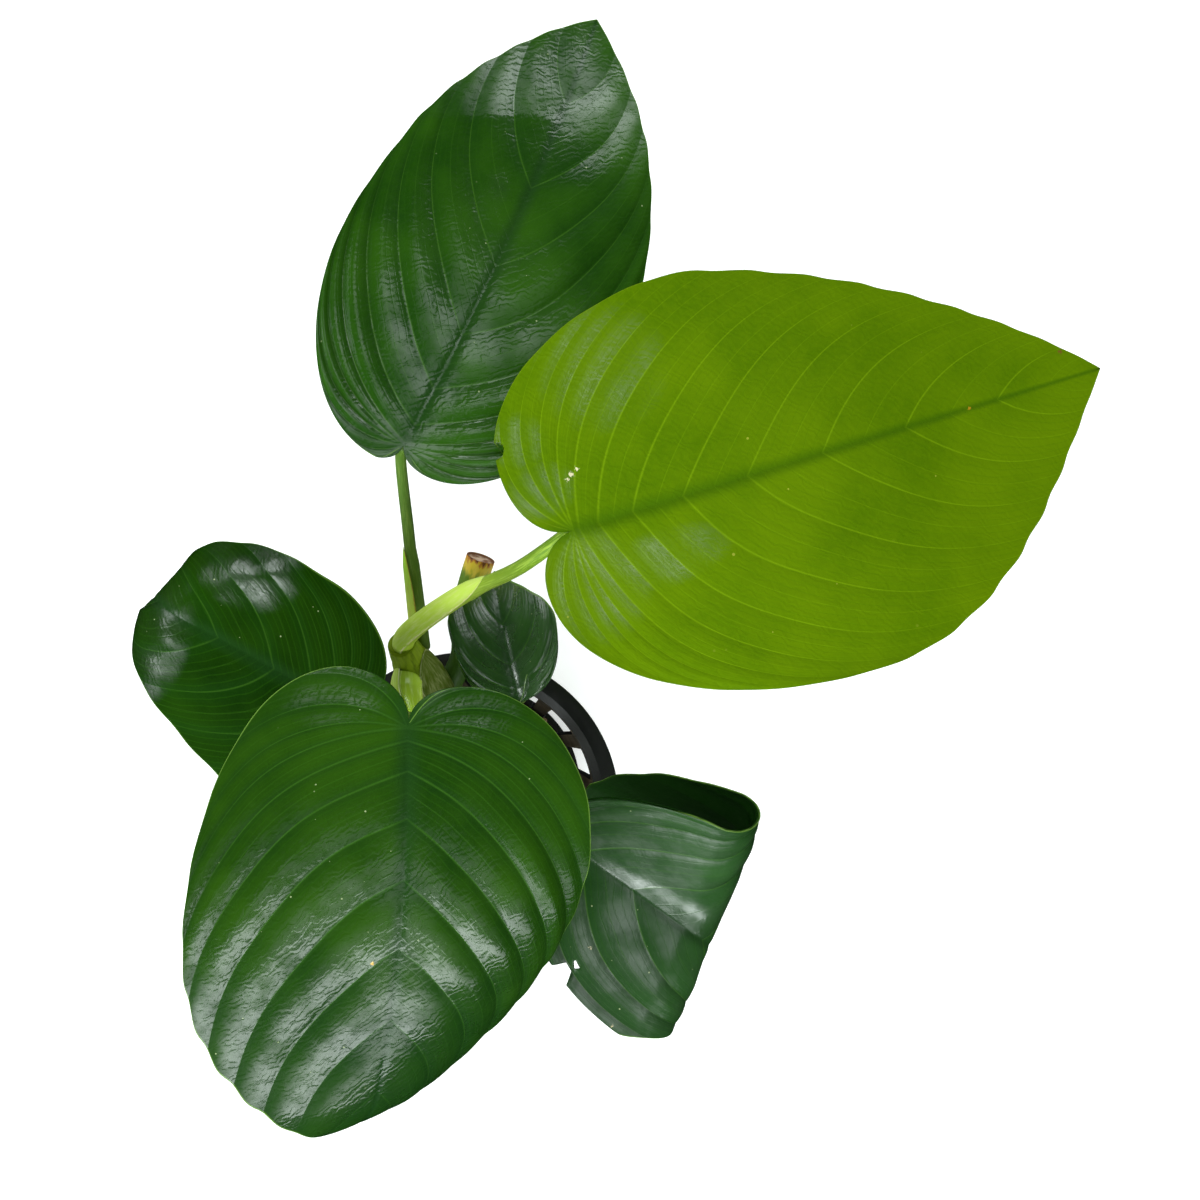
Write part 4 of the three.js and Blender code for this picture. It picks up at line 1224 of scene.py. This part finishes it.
LOOKS = {
    "rear": {
        **DARK_LEAF,
        "dark": (0.006, 0.037, 0.0008), "light": (0.019, 0.074, 0.002), "wrinkle": 0.02, "wax": 1.7,
        "lit_side": (0.2, 0.7, 0.2),
        "shine": [((8, 2), (32, 26), 1), ((66, 2), (17, 18), 0.9), ((40, 5), (6, 2.5), 0.9)],
    },
    # The front leaf darkens towards its bent-down tip as painted shade.
    "front": {
        **DARK_LEAF,
        "dark": (0.0055, 0.029, 0.0008), "light": (0.016, 0.056, 0.0018), "deep": (0.004, 0.024, 0.004),
        "tip_shade_from": (25.0, 70.0), "tip_shade": 0.6, "vein": (0.035, 0.11, 0.01), "wrinkle": 0.024,
        "gleam": 0.8, "ior": 1.08, "lit_side": (0.15, 0.7, 0.03),
        "shine": [((50, -4), (36, 45), 1), ((-6, -11), (6, 8), 1), ((-4, 9), (6, 8), 1)],
        "spots": [((37.8, -3.9), 0.5, (0.5, 0.3, 0.03))],
    },
    "left": {
        **DARK_LEAF,
        "dark": (0.0025, 0.016, 0.0004), "light": (0.0075, 0.032, 0.0008), "vein": (0.03, 0.09, 0.008),
        "rim": (0.08, 0.17, 0.02), "gloss": 0.28, "wax": 1.9, "ior": 1.03,
        "shine": [((24, -15.5), (10, 8), 1), ((35, 6), (8, 14), 0.8), ((39, 0), (6, 6), 1)],
    },
    "rolled": {
        **DARK_LEAF,
        # The underside colour here is painted shade: much darker than a leaf's paler underside, where it
        # shows inside the roll.
        "dark": (0.009, 0.036, 0.007), "light": (0.017, 0.058, 0.012), "below": (0.006, 0.035, 0.002),
        "under": 0.9, "wrinkle": 0.006, "gleam": 1.0, "gloss": 0.3, "wax": 2.1,
        "lit_side": (0.15, 0.8, 0.3), "rib_gloss": 0.3,
        "shine": [((20, 13), (28, 16), 0.9), ((24, -12), (20, 13), 0.5)],
        "spots": [((16.5, -11.8), 0.45, PALE_MARK), ((27, -20), 0.35, PALE_MARK)],
    },
    "small": {
        **DARK_LEAF,
        "dark": (0.012, 0.045, 0.006), "light": (0.024, 0.078, 0.012), "specks": 0.6, "wrinkle": 0.008,
        "gleam": 1.0, "gloss": 0.26, "wax": 2.0, "lit_side": (0.1, 0.8, 0.35),
    },
    "young": {
        **DARK_LEAF,
        "dark": (0.055, 0.12, 0.0003), "light": (0.088, 0.162, 0.0006), "mottle": 0.4,
        "deep": (0.046, 0.105, 0.0003), "valley": 0.12, "thread": (0.06, 0.135, 0.0004),
        "vein": (0.15, 0.26, 0.003), "veins": 0.42, "rib_shade_colour": (0.028, 0.08, 0.001), "rib": 0.65,
        "rib_width": 2.5, "rim": (0.12, 0.2, 0.005), "below": (0.11, 0.22, 0.022),
        "specks": 0.2, "speck": (0.25, 0.28, 0.03), "wrinkle": 0.02, "dimples": 0.04, "ior": 1.06,
        "gloss": 0.22, "gleam": 0.75, "wax": 1.6, "lit_side": (0.25, 0.9, 0.05), "rib_gloss": 0.2,
        "shine": [
            ((11, 22), (9, 9), 1), ((-4, 15), (4, 4), 1), ((-3, 7), (5, 4), 1),
            ((0, -9), (8, 8), 1), ((12, -8), (9, 4), 1)],
        "spots": [
            ((2.2, 8.0), 0.55, CREAM_SCAR), ((1.3, 7.5), 0.4, CREAM_SCAR), ((3.1, 8.5), 0.45, CREAM_SCAR),
            ((-7.0, 15.0), 0.9, (0.02, 0.025, 0.012)), ((63.3, 0.0), 0.5, (0.35, 0.18, 0.01)),
            ((80.5, 4.2), 0.6, (0.12, 0.07, 0.01))],
    },
}

# Colours of the stems at foot, head and streaks, and of the husks on body, tip and dry edge. Two more
# numbers are the roughness and the strength of the reflection.
STEMS = {
    "stalk_dark": ((0.07, 0.13, 0.012), (0.05, 0.11, 0.01), (0.13, 0.2, 0.03)),
    "stalk_young": ((0.38, 0.54, 0.035), (0.1, 0.2, 0.008), (0.36, 0.5, 0.06)),
    "rhizome_skin": ((0.012, 0.026, 0.001), (0.17, 0.25, 0.008), (0.04, 0.07, 0.002), 0.42, 1.1),
    "bud_skin": ((0.34, 0.5, 0.04), (0.38, 0.58, 0.03), (0.6, 0.74, 0.22), 0.2, 1.5),
}
HUSKS = {
    "sheath_dark": ((0.44, 0.55, 0.07), (0.24, 0.5, 0.015), (0.3, 0.16, 0.05)),
    "sheath_young": ((0.36, 0.52, 0.035), (0.5, 0.68, 0.09), (0.66, 0.66, 0.3)),
    "husk_dry": ((0.02, 0.04, 0.001), (0.07, 0.11, 0.004), (0.38, 0.42, 0.18)),
    "husk_pale": ((0.4, 0.56, 0.06), (0.36, 0.5, 0.04), (0.7, 0.75, 0.4)),
}


# Stage. Each window has its azimuth from +X towards +Y and its angle from overhead in degrees, its
# distance and size in metres and its power in watts.

WINDOWS = {
    "window": (-105, 68, 1.2, (2.0, 0.36), 22),
    "side_window": (165, 60, 1.2, (0.9, 0.3), 6),
    "rear_window": (75, 72, 1.3, (1.4, 0.3), 8),
    "low_window": (-127, 83, 1.2, (1.0, 0.4), 7),
    "soft_window": (-85, 42, 1.2, (1.0, 0.35), 3),
    "top_window": (200, 11, 1.2, (0.5, 0.4), 2),
    "ceiling_window": (65, 22, 1.2, (0.6, 0.5), 2.4),
}
WINDOW_LIGHT = (0.93, 1.0, 0.99)
LIT_PLACE = (0.02, 0.03, 0.09)
FLOOR_REACH = 40000
FLOOR_DROP = -0.2


def make_camera():
    data = bpy.data.cameras.new("camera")
    data.lens = CAMERA["lens"]
    data.sensor_width = CAMERA["sensor"]
    data.clip_start = 0.01
    camera = bpy.data.objects.new("camera", data)
    camera.location = Vector(CAMERA["at"]) * MM
    bpy.context.scene.collection.objects.link(camera)
    bpy.context.scene.camera = camera


def make_floor():
    s = Shader("floor_paper")
    paper = s.noise(s.position(), 400.0, 3.0)
    material = s.finish(s.mix(paper, (0.86, 0.86, 0.855), (0.9, 0.9, 0.9)), 0.8)
    s.feed(s.surface.inputs["Emission Color"], (1.0, 1.0, 1.0))
    s.surface.inputs["Emission Strength"].default_value = 0.3
    signs = ((-1, -1), (1, -1), (1, 1), (-1, 1))
    corners = [(x * FLOOR_REACH, y * FLOOR_REACH, FLOOR_DROP) for x, y in signs]
    floor = mesh_object("floor", corners, [(0, 1, 2, 3)])
    floor.data.materials.append(material)
    floor.visible_glossy = False


def make_sky():
    """An even pale light from all round. Only the windows show as gloss."""
    world = bpy.data.worlds.new("studio")
    bpy.context.scene.world = world
    world.use_nodes = True
    background = world.node_tree.nodes["Background"]
    background.inputs["Color"].default_value = (0.98, 1.0, 1.0, 1)
    background.inputs["Strength"].default_value = 0.55
    world.cycles_visibility.glossy = False


def make_window(name, azimuth, zenith, distance, size, power):
    """A soft light that faces the plant."""
    a, z = math.radians(azimuth), math.radians(zenith)
    away = Vector((math.cos(a) * math.sin(z), math.sin(a) * math.sin(z), math.cos(z)))
    data = bpy.data.lights.new(name, "AREA")
    data.shape = "RECTANGLE"
    data.size, data.size_y = size
    data.energy = power
    data.color = WINDOW_LIGHT
    light = bpy.data.objects.new(name, data)
    light.location = Vector(LIT_PLACE) + away * distance
    light.rotation_mode = "QUATERNION"
    light.rotation_quaternion = away.to_track_quat("Z", "Y")
    bpy.context.scene.collection.objects.link(light)


def main():
    bpy.context.scene.view_settings.view_transform = "Standard"
    make_camera()
    make_floor()
    make_sky()
    for name, window in WINDOWS.items():
        make_window(name, *window)
    stems = {name: stem_material(name, *look) for name, look in STEMS.items()}
    husks = {name: husk_material(name, *look) for name, look in HUSKS.items()}
    for name, leaf in LEAVES.items():
        make_leaf(name, leaf, leaf_material("leaf_skin_" + name, LOOKS[name]))
    for name, leaf in LEAVES.items():
        make_petiole(name, leaf, stems["stalk_young" if name == "young" else "stalk_dark"])
    for name in SHEATHS:
        make_sheath(name, LEAVES[name], husks["sheath_young" if name == "young" else "sheath_dark"])
    make_rhizome(stems["rhizome_skin"])
    make_crown_husks(husks["husk_dry"])
    make_pot(plastic_material("pot_plastic"))
    make_wool(wool_material("stone_wool"))
    make_bud(stems["bud_skin"])
    make_bud_husk(husks["husk_pale"])
    make_cut_stalk(stub_material("stub_skin"))


main()
